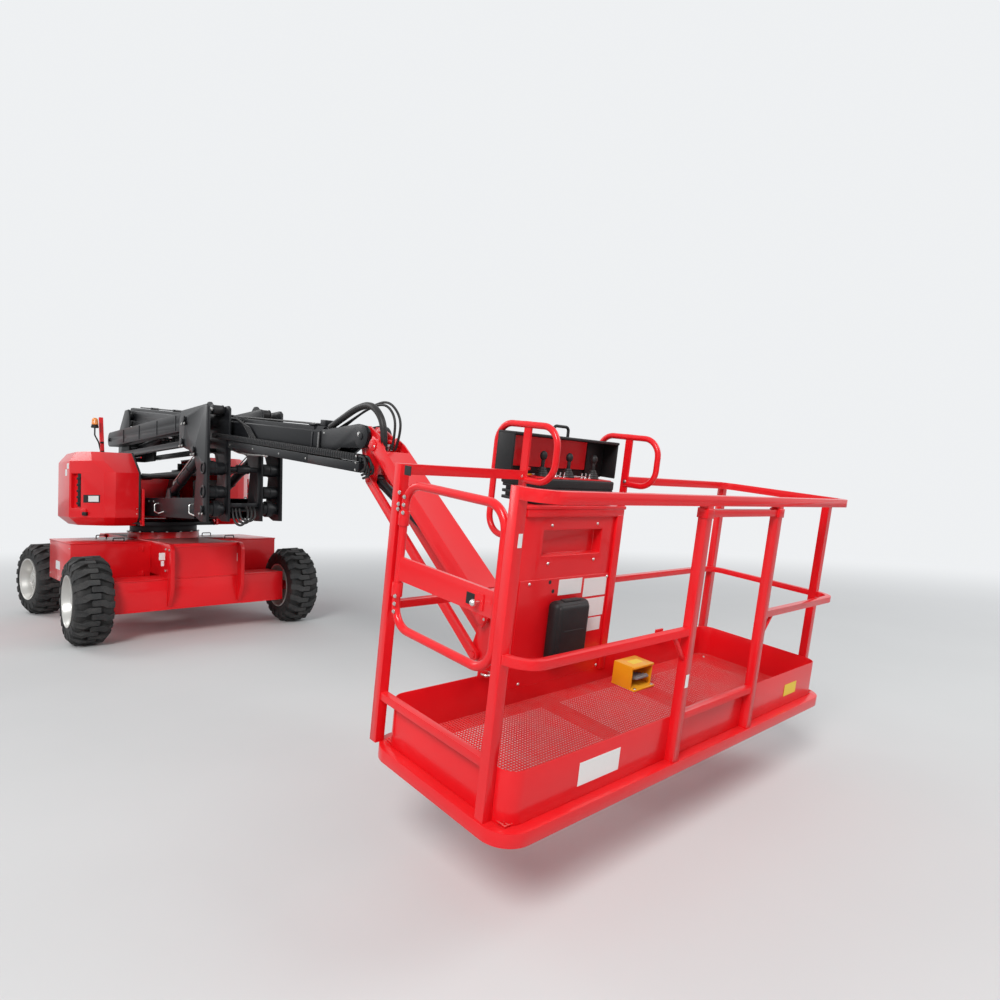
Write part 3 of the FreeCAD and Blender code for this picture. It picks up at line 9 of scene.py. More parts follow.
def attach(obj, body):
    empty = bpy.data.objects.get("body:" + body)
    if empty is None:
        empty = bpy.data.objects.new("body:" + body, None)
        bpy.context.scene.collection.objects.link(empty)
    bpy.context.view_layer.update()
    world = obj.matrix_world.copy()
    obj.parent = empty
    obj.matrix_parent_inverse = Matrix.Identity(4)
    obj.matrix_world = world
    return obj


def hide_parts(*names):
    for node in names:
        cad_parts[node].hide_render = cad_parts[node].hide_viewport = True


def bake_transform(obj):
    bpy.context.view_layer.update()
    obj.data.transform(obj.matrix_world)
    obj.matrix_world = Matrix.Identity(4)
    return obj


bl_info = {
    "name": "Articulating Boom Lift",
    "version": (1, 0, 0),
    "blender": (4, 5, 0),
    "location": "3D View > Sidebar > Boom Lift",
    "description": "Dresses the boom lift in its paint, tyres, rails, hoses and controls",
    "category": "Object",
}

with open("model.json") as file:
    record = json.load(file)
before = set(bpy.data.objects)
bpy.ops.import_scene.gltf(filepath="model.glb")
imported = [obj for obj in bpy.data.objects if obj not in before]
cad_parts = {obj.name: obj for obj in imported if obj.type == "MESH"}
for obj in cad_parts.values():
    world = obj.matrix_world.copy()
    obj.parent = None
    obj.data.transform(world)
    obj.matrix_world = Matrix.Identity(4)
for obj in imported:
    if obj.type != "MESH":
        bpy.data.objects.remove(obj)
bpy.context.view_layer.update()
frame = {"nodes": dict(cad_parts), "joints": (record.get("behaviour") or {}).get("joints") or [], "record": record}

# How the machine stands in the photo, in degrees.
BOOM_PITCH = 7.1
JIB_PITCH = 42
PLATFORM_PITCH = 8.3
STEER_ANGLE = 11.0

# The camera that took the photo: its sensor in mm, its lens as a share of the sensor, its place in
# the machine's frame in metres, and its turn in degrees.
SENSOR = 36.0
LENS_SHARE = 0.666
EYE = (8.942, -2.606, 1.451)
EYE_YAW, EYE_PITCH, EYE_ROLL = 43.0, 0.28, 0.6
BACKDROP = (0.86, 0.875, 0.89, 1)

# Pivots and local frames, in metres. PLATFORM starts at the foot of the front right post.
PIVOT = {joint["name"]: Vector(joint["pos_m"]) for joint in frame["joints"] if "pos_m" in joint}
MACHINE = Matrix.Translation((PIVOT["turntable_swing"].x, 0, 0))
BOOM = Matrix.Translation(PIVOT["boom_luff"]) @ Matrix.Rotation(math.radians(BOOM_PITCH), 4, "Y")
JIB = Matrix.Translation(PIVOT["jib_raise"]) @ Matrix.Rotation(math.radians(JIB_PITCH), 4, "Y")
LEVEL = Matrix.Rotation(math.radians(PLATFORM_PITCH), 4, "Y")
POST_FROM_ROTATOR = (0.965, -1.153, 0)
PLATFORM = Matrix.Translation(PIVOT["platform_rotate"]) @ LEVEL @ Matrix.Translation(POST_FROM_ROTATOR)


class BoomLiftPaint(bpy.types.PropertyGroup):
    """Colours of the paint and of the parts that stay unpainted."""
    red: bpy.props.FloatVectorProperty(
        name="Red paint", description="Gloss paint of the chassis, hoods, jib and platform",
        subtype="COLOR", size=3, min=0, max=1, default=(0.76, 0.007, 0.012))
    black: bpy.props.FloatVectorProperty(
        name="Black paint", description="Satin paint of the booms and the riser linkage",
        subtype="COLOR", size=3, min=0, max=1, default=(0.008, 0.0085, 0.010))
    silver: bpy.props.FloatVectorProperty(
        name="Rim paint", description="Silver paint of the wheel rims",
        subtype="COLOR", size=3, min=0, max=1, default=(0.62, 0.61, 0.58))
    rubber: bpy.props.FloatVectorProperty(
        name="Rubber", description="Tyre and hose rubber",
        subtype="COLOR", size=3, min=0, max=1, default=(0.013, 0.0135, 0.014))
    dust: bpy.props.FloatVectorProperty(
        name="Dust", description="Dry road dust on tyres and upper faces",
        subtype="COLOR", size=3, min=0, max=1, default=(0.34, 0.31, 0.28))


class BoomLiftWheels(bpy.types.PropertyGroup):
    """Sizes of the tyres and rims."""
    lugs: bpy.props.IntProperty(
        name="Lugs a side", description="Tread bars on each side of a tyre", default=20, min=8, max=40)
    lug_height: bpy.props.FloatProperty(
        name="Lug height", description="Depth of the tread", default=0.036, min=0.005, max=0.06,
        unit="LENGTH")
    sides: bpy.props.IntProperty(
        name="Rim sides", description="Steps round a rim", default=64, min=16, max=128)


class BoomLiftPlatform(bpy.types.PropertyGroup):
    """Sizes of the work platform's smaller pieces."""
    mesh_pitch: bpy.props.FloatProperty(
        name="Mesh pitch", description="Distance between the floor mesh's wires", default=0.015,
        min=0.004, max=0.05, unit="LENGTH")
    mesh_wire: bpy.props.FloatProperty(
        name="Mesh wire", description="Width of the floor mesh's wires", default=0.0052,
        min=0.001, max=0.01, unit="LENGTH")


# Shared shader groups.


def new_group(name, inputs, outputs):
    """A shader node group with its named sockets and its two end nodes."""
    tree = bpy.data.node_groups.new(name, "ShaderNodeTree")
    for label, kind, default in inputs:
        socket = tree.interface.new_socket(label, in_out="INPUT", socket_type=kind)
        if default is not None:
            socket.default_value = default
    for label, kind in outputs:
        tree.interface.new_socket(label, in_out="OUTPUT", socket_type=kind)
    return tree, tree.nodes.new("NodeGroupInput"), tree.nodes.new("NodeGroupOutput")


def add(tree, kind, values=None, **settings):
    """A node with its settings and the values or links of its inputs."""
    node = tree.nodes.new(kind)
    for key, value in settings.items():
        setattr(node, key, value)
    for key, value in (values or {}).items():
        if isinstance(value, bpy.types.NodeSocket):
            tree.links.new(value, node.inputs[key])
        else:
            node.inputs[key].default_value = value
    return node


def paint_group():
    """Colour drift, settled dust and orange peel of a sprayed surface."""
    tree, source, sink = new_group("SprayedPaint", (
        ("Place", "NodeSocketVector", None), ("Paint", "NodeSocketColor", (0.5, 0.5, 0.5, 1)),
        ("Dust Colour", "NodeSocketColor", (0.3, 0.3, 0.3, 1)), ("Dust", "NodeSocketFloat", 0.2),
        ("Gloss", "NodeSocketFloat", 0.3)), (
        ("Color", "NodeSocketColor"), ("Roughness", "NodeSocketFloat"), ("Height", "NodeSocketFloat")))
    get = source.outputs
    drift = add(tree, "ShaderNodeTexNoise", {"Vector": get["Place"], "Scale": 1.7, "Detail": 2.0})
    shade = add(tree, "ShaderNodeMapRange", {"Value": drift.outputs["Fac"], "From Min": 0.3,
                                             "From Max": 0.7, "To Min": 0.93, "To Max": 1.05})
    tone = add(tree, "ShaderNodeVectorMath", {0: get["Paint"], 1: shade.outputs["Result"]},
               operation="MULTIPLY")
    surface = add(tree, "ShaderNodeNewGeometry")
    facing = add(tree, "ShaderNodeSeparateXYZ", {0: surface.outputs["Normal"]})
    upward = add(tree, "ShaderNodeMapRange", {"Value": facing.outputs["Z"], "From Min": 0.55,
                                              "From Max": 0.98, "To Min": 0.0, "To Max": 1.0})
    patch = add(tree, "ShaderNodeTexNoise", {"Vector": get["Place"], "Scale": 9.0, "Detail": 6.0,
                                             "Roughness": 0.62})
    settled = add(tree, "ShaderNodeMapRange", {"Value": patch.outputs["Fac"], "From Min": 0.35,
                                               "From Max": 0.75, "To Min": 0.25, "To Max": 1.0})
    cover = add(tree, "ShaderNodeMath", {0: upward.outputs["Result"], 1: settled.outputs["Result"]},
                operation="MULTIPLY")
    cover = add(tree, "ShaderNodeMath", {0: cover.outputs[0], 1: get["Dust"]}, operation="MULTIPLY")
    mix = add(tree, "ShaderNodeMix", {"Factor": cover.outputs[0], "A": tone.outputs[0],
                                      "B": get["Dust Colour"]}, data_type="RGBA")
    rough = add(tree, "ShaderNodeMath", {0: cover.outputs[0], 1: 0.5, 2: get["Gloss"]},
                operation="MULTIPLY_ADD")
    peel = add(tree, "ShaderNodeTexNoise", {"Vector": get["Place"], "Scale": 260.0, "Detail": 1.0})
    tree.links.new(mix.outputs["Result"], sink.inputs["Color"])
    tree.links.new(rough.outputs[0], sink.inputs["Roughness"])
    tree.links.new(peel.outputs["Fac"], sink.inputs["Height"])
    return tree


def grain_group():
    """Fine grain with dust caught in it, for rubber, plastic and castings."""
    tree, source, sink = new_group("DustyGrain", (
        ("Place", "NodeSocketVector", None), ("Base", "NodeSocketColor", (0.1, 0.1, 0.1, 1)),
        ("Dust Colour", "NodeSocketColor", (0.3, 0.3, 0.3, 1)), ("Dust", "NodeSocketFloat", 0.2),
        ("Grain Scale", "NodeSocketFloat", 300.0)), (
        ("Color", "NodeSocketColor"), ("Mask", "NodeSocketFloat"), ("Height", "NodeSocketFloat")))
    get = source.outputs
    smear = add(tree, "ShaderNodeTexNoise", {"Vector": get["Place"], "Scale": 7.0, "Detail": 7.0,
                                             "Roughness": 0.7})
    speck = add(tree, "ShaderNodeTexNoise", {"Vector": get["Place"], "Scale": get["Grain Scale"],
                                             "Detail": 3.0})
    both = add(tree, "ShaderNodeMath", {0: smear.outputs["Fac"], 1: speck.outputs["Fac"]},
               operation="MULTIPLY")
    mask = add(tree, "ShaderNodeMapRange", {"Value": both.outputs[0], "From Min": 0.18,
                                            "From Max": 0.42, "To Min": 0.0, "To Max": 1.0})
    cover = add(tree, "ShaderNodeMath", {0: mask.outputs["Result"], 1: get["Dust"]},
                operation="MULTIPLY")
    mix = add(tree, "ShaderNodeMix", {"Factor": cover.outputs[0], "A": get["Base"],
                                      "B": get["Dust Colour"]}, data_type="RGBA")
    tree.links.new(mix.outputs["Result"], sink.inputs["Color"])
    tree.links.new(cover.outputs[0], sink.inputs["Mask"])
    tree.links.new(speck.outputs["Fac"], sink.inputs["Height"])
    return tree


# Distance of every bump, in metres.
BUMP_DEPTH = 0.002


def new_material(name):
    """An empty material: its node tree, its shader and the place on the object."""
    material = bpy.data.materials.new(name)
    material.use_nodes = True
    tree = material.node_tree
    shader = tree.nodes["Principled BSDF"]
    place = tree.nodes.new("ShaderNodeTexCoord").outputs["Object"]
    return material, tree, shader, place


def color4(value):
    return (value[0], value[1], value[2], 1.0)


def dressed(name, group, bump, values):
    """A material whose colour and relief come from a shared group with the material's values."""
    material, tree, shader, place = new_material(name)
    dust = color4(bpy.context.scene.boom_lift_paint.dust)
    look = add(tree, "ShaderNodeGroup", {"Place": place, "Dust Colour": dust, **values},
               node_tree=bpy.data.node_groups[group])
    relief = add(tree, "ShaderNodeBump", {"Height": look.outputs["Height"], "Strength": bump,
                                          "Distance": BUMP_DEPTH})
    tree.links.new(look.outputs["Color"], shader.inputs["Base Color"])
    tree.links.new(relief.outputs["Normal"], shader.inputs["Normal"])
    return tree, shader, look


def painted(name, color, gloss, dust, coat, bump=0.02, metal=0.0):
    """Sprayed paint with an orange-peel surface under a clear coat."""
    tree, shader, look = dressed(name, "SprayedPaint", bump,
                                 {"Paint": color4(color), "Dust": dust, "Gloss": gloss})
    tree.links.new(look.outputs["Roughness"], shader.inputs["Roughness"])
    shader.inputs["Metallic"].default_value = metal
    shader.inputs["Specular IOR Level"].default_value = 0.25
    shader.inputs["Coat Weight"].default_value = coat
    shader.inputs["Coat Roughness"].default_value = 0.08


def grained(name, color, rough, dust, scale=300.0, bump=0.15, metal=0.0):
    """A matt surface with grain and dust, such as rubber or moulded plastic."""
    tree, shader, look = dressed(name, "DustyGrain", bump,
                                 {"Base": color4(color), "Dust": dust, "Grain Scale": scale})
    worn = add(tree, "ShaderNodeMath", {0: look.outputs["Mask"], 1: 0.3, 2: rough},
               operation="MULTIPLY_ADD")
    tree.links.new(worn.outputs[0], shader.inputs["Roughness"])
    shader.inputs["Metallic"].default_value = metal
    shader.inputs["Specular IOR Level"].default_value = 0.3


def make_materials():
    """The shader groups and every material of the lift."""
    paint = bpy.context.scene.boom_lift_paint
    paint_group()
    grain_group()
    painted("RedPaint", paint.red, 0.30, 0.05, 0.28)
    painted("BlackPaint", paint.black, 0.40, 0.04, 0.06)
    painted("MeshPaint", paint.red, 0.5, 0.5, 0.1)
    painted("DeckGrip", (0.36, 0.035, 0.035), 0.5, 0.35, 0.1, 0.6)
    painted("SilverPaint", paint.silver, 0.34, 0.12, 0.3, metal=0.55)
    painted("YellowPaint", (0.86, 0.38, 0.012), 0.38, 0.05, 0.3)
    grained("TyreRubber", paint.rubber, 0.62, 0.10, 220.0, 0.25)
    grained("TreadFaces", (0.030, 0.031, 0.032), 0.7, 0.16, 160.0, 0.3)
    grained("HoseRubber", (0.012, 0.012, 0.013), 0.42, 0.1, 500.0, 0.1)
    grained("BlackPlastic", (0.008, 0.008, 0.009), 0.5, 0.04, 900.0, 0.18)
    grained("BlankLabel", (0.80, 0.80, 0.78), 0.35, 0.06, 200.0, 0.02)
    grained("YellowLabel", (0.85, 0.60, 0.02), 0.35, 0.06, 200.0, 0.02)
    grained("BrightSteel", (0.72, 0.72, 0.72), 0.16, 0.05, 120.0, 0.02, 1.0)
    grained("ZincBolt", (0.66, 0.66, 0.64), 0.32, 0.12, 400.0, 0.08, 1.0)
    grained("PedalGrey", (0.20, 0.20, 0.20), 0.55, 0.3, 300.0, 0.2)
    grained("EngineMetal", (0.16, 0.16, 0.16), 0.5, 0.35, 200.0, 0.2, 0.6)
    _, tree, shader, place = new_material("AmberLens")
    ribs = add(tree, "ShaderNodeTexWave", {"Vector": place, "Scale": 60.0}, bands_direction="Z")
    relief = add(tree, "ShaderNodeBump", {"Height": ribs.outputs["Fac"], "Strength": 0.3,
                                          "Distance": BUMP_DEPTH})
    tree.links.new(relief.outputs["Normal"], shader.inputs["Normal"])
    shader.inputs["Base Color"].default_value = (0.9, 0.28, 0.02, 1)
    shader.inputs["Roughness"].default_value = 0.15
    shader.inputs["Coat Weight"].default_value = 0.6


# Modelling tools.


def stand(at, axis):
    """The transform that stands the Z axis along a direction, at a point."""
    return Matrix.Translation(at) @ axis.to_track_quat("Z", "Y").to_matrix().to_4x4()


def colour_faces(faces, material):
    """Give faces their material's slot."""
    for face in faces:
        face.material_index = material


def faces_of(verts):
    return {face for vert in verts for face in vert.link_faces}


def centred_in(bm, low, high):
    """The faces whose centre lies in a box."""
    return [face for face in bm.faces
            if all(a <= c <= b for a, c, b in zip(low, face.calc_center_median(), high))]


def only(kind, items):
    """The vertices, edges or faces among what an operation gives back."""
    return [item for item in items if isinstance(item, kind)]


def bevel_edges(bm, edges, width, segments=2):
    """Round some edges, where there are any and the width isn't nought."""
    if width > 0 and edges:
        bmesh.ops.bevel(bm, geom=edges, offset=width, offset_type="OFFSET", segments=segments,
                        profile=0.5, affect="EDGES", clamp_overlap=True, material=-1)


def add_box(bm, low, high, width=0.003, segments=2, material=0, turn=None):
    """A block between two corners with rounded edges."""
    low, high = Vector(low), Vector(high)
    made = bmesh.ops.create_cube(bm, size=1.0, matrix=Matrix.Translation((low + high) / 2)
                                 @ Matrix.Diagonal((*(high - low), 1.0)))
    verts = made["verts"]
    if turn is not None:
        bmesh.ops.transform(bm, matrix=turn, verts=verts)
    colour_faces(faces_of(verts), material)
    bevel_edges(bm, list({edge for vert in verts for edge in vert.link_edges}), width, segments)


def add_rod(bm, start, end, radius, sides=32, width=0.003, material=0, end_radius=None):
    """A round bar between two points with its rims rounded."""
    start, end = Vector(start), Vector(end)
    made = bmesh.ops.create_cone(bm, cap_ends=True, segments=sides, radius1=radius,
                                 radius2=radius if end_radius is None else end_radius,
                                 depth=(end - start).length,
                                 matrix=stand((start + end) / 2, end - start))
    faces = faces_of(made["verts"])
    colour_faces(faces, material)
    rims = {edge for face in faces if len(face.verts) == sides for edge in face.edges}
    bevel_edges(bm, list(rims), width, 2)


def add_cap(bm, x, z, side, near, far, radius, sides=32, width=0.003, material=0):
    """A pin's cap or drum across the machine, on one side of it."""
    add_rod(bm, (x, side * near, z), (x, side * far, z), radius, sides, width, material)


def add_ball(bm, centre, radius, material=0, scale=(1, 1, 1), steps=16):
    """A ball, or a knob stretched from one."""
    made = bmesh.ops.create_uvsphere(bm, u_segments=steps, v_segments=steps // 2, radius=radius,
                                     matrix=Matrix.Translation(centre) @ Matrix.Diagonal((*scale, 1)))
    colour_faces(faces_of(made["verts"]), material)


def add_bolt(bm, at, axis, radius=0.008, height=0.006, material=0):
    """A hexagon head on its washer, standing along an axis."""
    at, axis = Vector(at), Vector(axis).normalized()
    add_rod(bm, at, at + axis * height * 0.25, radius * 1.35, 20, 0.0, material)
    add_rod(bm, at + axis * height * 0.25, at + axis * height, radius, 6, height * 0.15, material)


def add_dome(bm, at, axis, radius=0.008, material=0):
    """A round-headed bolt."""
    at, axis = Vector(at), Vector(axis).normalized()
    made = bmesh.ops.create_uvsphere(bm, u_segments=14, v_segments=8, radius=radius,
                                     matrix=stand(at, axis) @ Matrix.Diagonal((1, 1, 0.7, 1)))
    colour_faces(faces_of(made["verts"]), material)


def add_lathe(bm, profile, axis, sides=64, material=0, at=(0, 0, 0)):
    """A turned shape from (distance along the axis, radius) corners, closed on itself."""
    axis = Vector(axis).normalized()
    side = axis.orthogonal().normalized()
    verts = [bm.verts.new(axis * a + side * r) for a, r in profile]
    edges = [bm.edges.new((verts[n], verts[(n + 1) % len(verts)])) for n in range(len(verts))]
    before = set(bm.faces)
    bmesh.ops.spin(bm, geom=verts + edges, cent=(0, 0, 0), axis=axis, dvec=(0, 0, 0),
                   angle=2 * math.pi, steps=sides, use_merge=True, use_duplicate=False)
    faces = [face for face in bm.faces if face not in before]
    bmesh.ops.recalc_face_normals(bm, faces=faces)
    colour_faces(faces, material)
    bmesh.ops.translate(bm, verts=list({vert for face in faces for vert in face.verts}), vec=at)


def sweep(bm, points, radius, bend, sides=10, material=0, steps=8):
    """A round bar bent along corners: a ring drawn out along each run and turned at each corner."""
    points = [Vector(point) for point in points]
    along = (points[1] - points[0]).normalized()
    ring = bmesh.ops.create_circle(bm, cap_ends=False, segments=sides, radius=radius,
                                   matrix=stand(points[0], along))["verts"]
    rims = list({edge for vert in ring for edge in vert.link_edges})
    first, here, before = rims, points[0], set(bm.faces)
    for number, corner in enumerate(points[1:], start=1):
        last = number == len(points) - 1
        out = along if last else (points[number + 1] - corner).normalized()
        half = along.angle(out) / 2
        reach = 0.0 if last else bend * math.tan(half)
        drawn = bmesh.ops.extrude_edge_only(bm, edges=rims)["geom"]
        rims, ring = only(bmesh.types.BMEdge, drawn), only(bmesh.types.BMVert, drawn)
        target = corner - along * reach
        bmesh.ops.translate(bm, verts=ring, vec=target - here)
        here = target
        if last:
            break
        axis = along.cross(out).normalized()
        centre = here + axis.cross(along).normalized() * bend
        turned = bmesh.ops.spin(bm, geom=ring + rims, cent=centre, axis=axis, dvec=(0, 0, 0),
                                angle=2 * half, steps=steps, use_merge=False, use_duplicate=False)
        rims = only(bmesh.types.BMEdge, turned["geom_last"])
        here = corner + out * reach
        along = out
    bmesh.ops.contextual_create(bm, geom=first)
    bmesh.ops.contextual_create(bm, geom=rims)
    faces = [face for face in bm.faces if face not in before]
    bmesh.ops.recalc_face_normals(bm, faces=faces)
    colour_faces(faces, material)


def finish(name, bm, body, materials, place=None, sharp=32):
    """Make the mesh a piece at its place, shaded smooth below an angle, riding on a body."""
    if place is not None:
        bmesh.ops.transform(bm, matrix=place, verts=bm.verts)
    mesh = bpy.data.meshes.new(name)
    bm.to_mesh(mesh)
    bm.free()
    for polygon in mesh.polygons:
        polygon.use_smooth = True
    mesh.set_sharp_from_angle(angle=math.radians(sharp))
    for material in materials:
        mesh.materials.append(bpy.data.materials[material])
    piece = bpy.data.objects.new(name, mesh)
    bpy.context.scene.collection.objects.link(piece)
    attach(piece, body)
    return piece


def body_of(node):
    """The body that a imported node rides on."""
    return next(body for body, nodes in frame["record"]["behaviour"]["bodies"].items() if node in nodes)


def merged(node):
    """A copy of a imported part's mesh, its triangles joined into flat faces."""
    bm = bmesh.new()
    bm.from_mesh(frame["nodes"][node].data)
    bmesh.ops.remove_doubles(bm, verts=bm.verts, dist=0.00002)
    bmesh.ops.dissolve_limit(bm, angle_limit=math.radians(0.8), verts=bm.verts, edges=bm.edges,
                             use_dissolve_boundaries=False, delimit=set())
    return bm


def round_off(bm, width, angle=28, segments=2):
    """Round every edge that is sharper than an angle."""
    bevel_edges(bm, [edge for edge in bm.edges if edge.is_manifold
                     and edge.calc_face_angle() > math.radians(angle)], width, segments)


def softened(node, material, width=0.002, angle=28, segments=2):
    """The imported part's own shape with its edges rounded."""
    bm = merged(node)
    round_off(bm, width, angle, segments)
    piece = finish(node + "_shell", bm, body_of(node), [material])
    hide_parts(node)


def facing(at, normal, across):
    """The transform that lays a flat piece on a face: its width across, its thickness outwards."""
    normal, across = Vector(normal).normalized(), Vector(across).normalized()
    turn = Matrix((across, normal.cross(across), normal)).transposed().to_4x4()
    return Matrix.Translation(at) @ turn


def add_plate(bm, at, normal, across, width, height, material=0, thick=0.0012):
    """A thin plate or label lying on a face."""
    add_box(bm, (-width / 2, -height / 2, 0), (width / 2, height / 2, thick), 0.0005, 1, material,
            facing(at, normal, across))


def pocket(bm, normal, corners, depth):
    """Sink a rectangle of a flat face inwards."""
    normal, corners = Vector(normal), [Vector(corner) for corner in corners]
    middle = sum(corners, Vector()) / len(corners)
    face = min((face for face in bm.faces if face.normal.dot(normal) > 0.999),
               key=lambda face: abs((face.calc_center_median() - middle).dot(normal))
               + 0.1 * (face.calc_center_median() - middle).length)
    bmesh.ops.inset_individual(bm, faces=[face], thickness=0.02)
    verts = list(face.verts)
    for vert in verts:
        vert.co = min(corners, key=lambda corner: (corner - vert.co).length)
    bmesh.ops.remove_doubles(bm, verts=verts, dist=0.0001)
    face = min(bm.faces, key=lambda face: (face.calc_center_median() - middle).length)
    drawn = bmesh.ops.extrude_face_region(bm, geom=[face])["geom"]
    bmesh.ops.delete(bm, geom=[face], context="FACES_ONLY")
    bmesh.ops.translate(bm, vec=-normal * depth, verts=only(bmesh.types.BMVert, drawn))


def hose(name, points, radius, body, other=None):
    """A free hose along its route's points, riding on one body, or left where it lies when it runs between two
    bodies.
    """
    curve = bpy.data.curves.new(name, "CURVE")
    curve.dimensions = "3D"
    curve.resolution_u = 10
    spline = curve.splines.new("NURBS")
    spline.points.add(len(points) - 1)
    for knot, point in zip(spline.points, points):
        knot.co = (*(MACHINE @ Vector(point)), 1.0)
    spline.order_u = 3
    spline.use_endpoint_u = True
    route = bpy.data.objects.new(name + "_route", curve)
    line = bpy.data.meshes.new_from_object(route)
    bpy.data.meshes.remove(line)
    curve.bevel_depth = radius
    curve.bevel_resolution = 5
    curve.use_fill_caps = True
    mesh = bpy.data.meshes.new_from_object(route)
    bpy.data.objects.remove(route)
    mesh.materials.clear()
    mesh.materials.append(bpy.data.materials["HoseRubber"])
    for polygon in mesh.polygons:
        polygon.use_smooth = True
    mesh.set_sharp_from_angle(angle=math.radians(40))
    piece = bpy.data.objects.new(name, mesh)
    bpy.context.scene.collection.objects.link(piece)
    if other is None:
        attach(piece, body)
    else:
        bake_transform(piece)


# Wheels: body, spin joint, side and steering angle of each corner, and the tread's outer radius.

WHEELS = {"front_right": ("front_wheel_right", "front_wheel_right_spin", -1, 0.0),
          "front_left": ("front_wheel_left", "front_wheel_left_spin", 1, 0.0),
          "rear_right": ("rear_wheel_right", "rear_wheel_right_spin", -1, STEER_ANGLE),
          "rear_left": ("rear_wheel_left", "rear_wheel_left_spin", 1, STEER_ANGLE)}
TREAD_RADIUS = 0.4365


def wheel_place(corner):
    """The wheel's own frame: axle along Y, outer face on the +Y side."""
    _, joint, side, steer = WHEELS[corner]
    place = Matrix.Translation(PIVOT[joint]) @ Matrix.Rotation(math.radians(steer), 4, "Z")
    return place if side > 0 else place @ Matrix.Rotation(math.pi, 4, "Z")


class BOOMLIFT_OT_tyres(bpy.types.Operator):
    """Make the four tyres: a moulded carcass with two rows of hooked tread bars"""
    bl_idname = "boomlift.tyres"
    bl_label = "Tyres"

    def execute(self, context):
        wheels = context.scene.boom_lift_wheels
        height = wheels.lug_height
        for corner in WHEELS:
            bm = bmesh.new()
            base = TREAD_RADIUS - height
            add_lathe(bm, ((-0.150, 0.2555), (0.150, 0.2555), (0.163, 0.262), (0.168, 0.276),
                           (0.165, 0.300), (0.168, 0.318), (0.166, 0.345), (0.155, 0.380),
                           (0.135, base - 0.006), (0.105, base), (-0.105, base), (-0.135, base - 0.006),
                           (-0.155, 0.380), (-0.166, 0.345), (-0.168, 0.318), (-0.165, 0.300),
                           (-0.168, 0.276), (-0.163, 0.262)), (0, 1, 0), 80)
            for side in (-1, 1):
                for number in range(wheels.lugs):
                    turn = 2 * math.pi * (number + (0.5 if side > 0 else 0.0)) / wheels.lugs
                    self.lug(bm, side, turn, base, height)
            bmesh.ops.recalc_face_normals(bm, faces=bm.faces)
            piece = finish("tyre_%s_tread" % corner, bm, WHEELS[corner][0],
                           ["TyreRubber", "TreadFaces"], wheel_place(corner), 30)
            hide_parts("tyre_" + corner)
        return {"FINISHED"}

    def lug(self, bm, side, turn, base, height):
        """One tread bar: wide at the shoulder, then hooked and straight past the middle."""
        outline = ((0.172, -0.062), (0.172, 0.020), (0.112, 0.022), (0.074, 0.046), (-0.030, 0.046),
                   (-0.040, 0.038), (-0.040, -0.008), (-0.030, -0.016), (0.050, -0.016), (0.092, -0.042))
        foot = [bm.verts.new((u, side * v, 0)) for v, u in outline]
        face = bm.faces.new(foot)
        drawn = bmesh.ops.extrude_face_region(bm, geom=[face])["geom"]
        top, caps = only(bmesh.types.BMVert, drawn), only(bmesh.types.BMFace, drawn)
        for vert in top:
            vert.co.z = height
        bmesh.ops.scale(bm, vec=(0.86, 0.985, 1), verts=top,
                        space=Matrix.Translation((-0.01, -side * 0.065, 0)))
        verts = foot + top
        for vert in verts:
            lower = max(0.0, abs(vert.co.y) - 0.118)
            fall = 1.15 if vert.co.z > 0 else 1.5
            depth = base - 0.012 + vert.co.z * (1 + 0.012 / height) - lower * fall
            angle = vert.co.x / base
            vert.co = Vector((depth * math.sin(angle), vert.co.y, depth * math.cos(angle)))
        colour_faces(caps, 1)
        rim = list({edge for cap in caps for edge in cap.edges})
        bmesh.ops.rotate(bm, cent=(0, 0, 0), matrix=Matrix.Rotation(turn, 3, "Y"), verts=verts)
        bevel_edges(bm, rim, 0.004, 2)


class BOOMLIFT_OT_rims(bpy.types.Operator):
    """Make the four deep-dished rims with their wheel nuts and hubs"""
    bl_idname = "boomlift.rims"
    bl_label = "Rims"

    def execute(self, context):
        sides = context.scene.boom_lift_wheels.sides
        for corner in WHEELS:
            bm = bmesh.new()
            add_lathe(bm, ((-0.165, 0.2545), (-0.140, 0.2545), (0.150, 0.2545), (0.164, 0.2545),
                           (0.168, 0.258), (0.173, 0.258), (0.1745, 0.250), (0.168, 0.244),
                           (0.150, 0.240), (0.120, 0.226), (0.088, 0.218), (0.064, 0.212), (0.056, 0.198),
                           (0.055, 0.150), (0.064, 0.136), (0.080, 0.128), (0.088, 0.122), (0.090, 0.06),
                           (0.02, 0.06), (0.02, 0.14), (0.04, 0.215), (-0.165, 0.240)), (0, 1, 0), sides)
            self.bolts(bm, 8, 0.172, 0.055, 0.014, 0.02)
            hub = 2 if corner == "front_left" else 0
            add_rod(bm, (0, 0.05, 0), (0, 0.118, 0), 0.088, 40, 0.006, hub)
            add_rod(bm, (0, 0.11, 0), (0, 0.128, 0), 0.05, 32, 0.004, hub)
            self.bolts(bm, 6, 0.068, 0.118, 0.006, 0.006)
            piece = finish("rim_%s_dish" % corner, bm, WHEELS[corner][0],
                           ["SilverPaint", "ZincBolt", "RedPaint"], wheel_place(corner), 30)
            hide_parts("rim_" + corner)
        return {"FINISHED"}

    def bolts(self, bm, count, ring, y, radius, height):
        """Bolts in a circle round the axle."""
        for number in range(count):
            angle = 2 * math.pi * number / count
            at = (ring * math.sin(angle), y, ring * math.cos(angle))
            add_bolt(bm, at, (0, 1, 0), radius, height, 1)


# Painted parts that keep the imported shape.

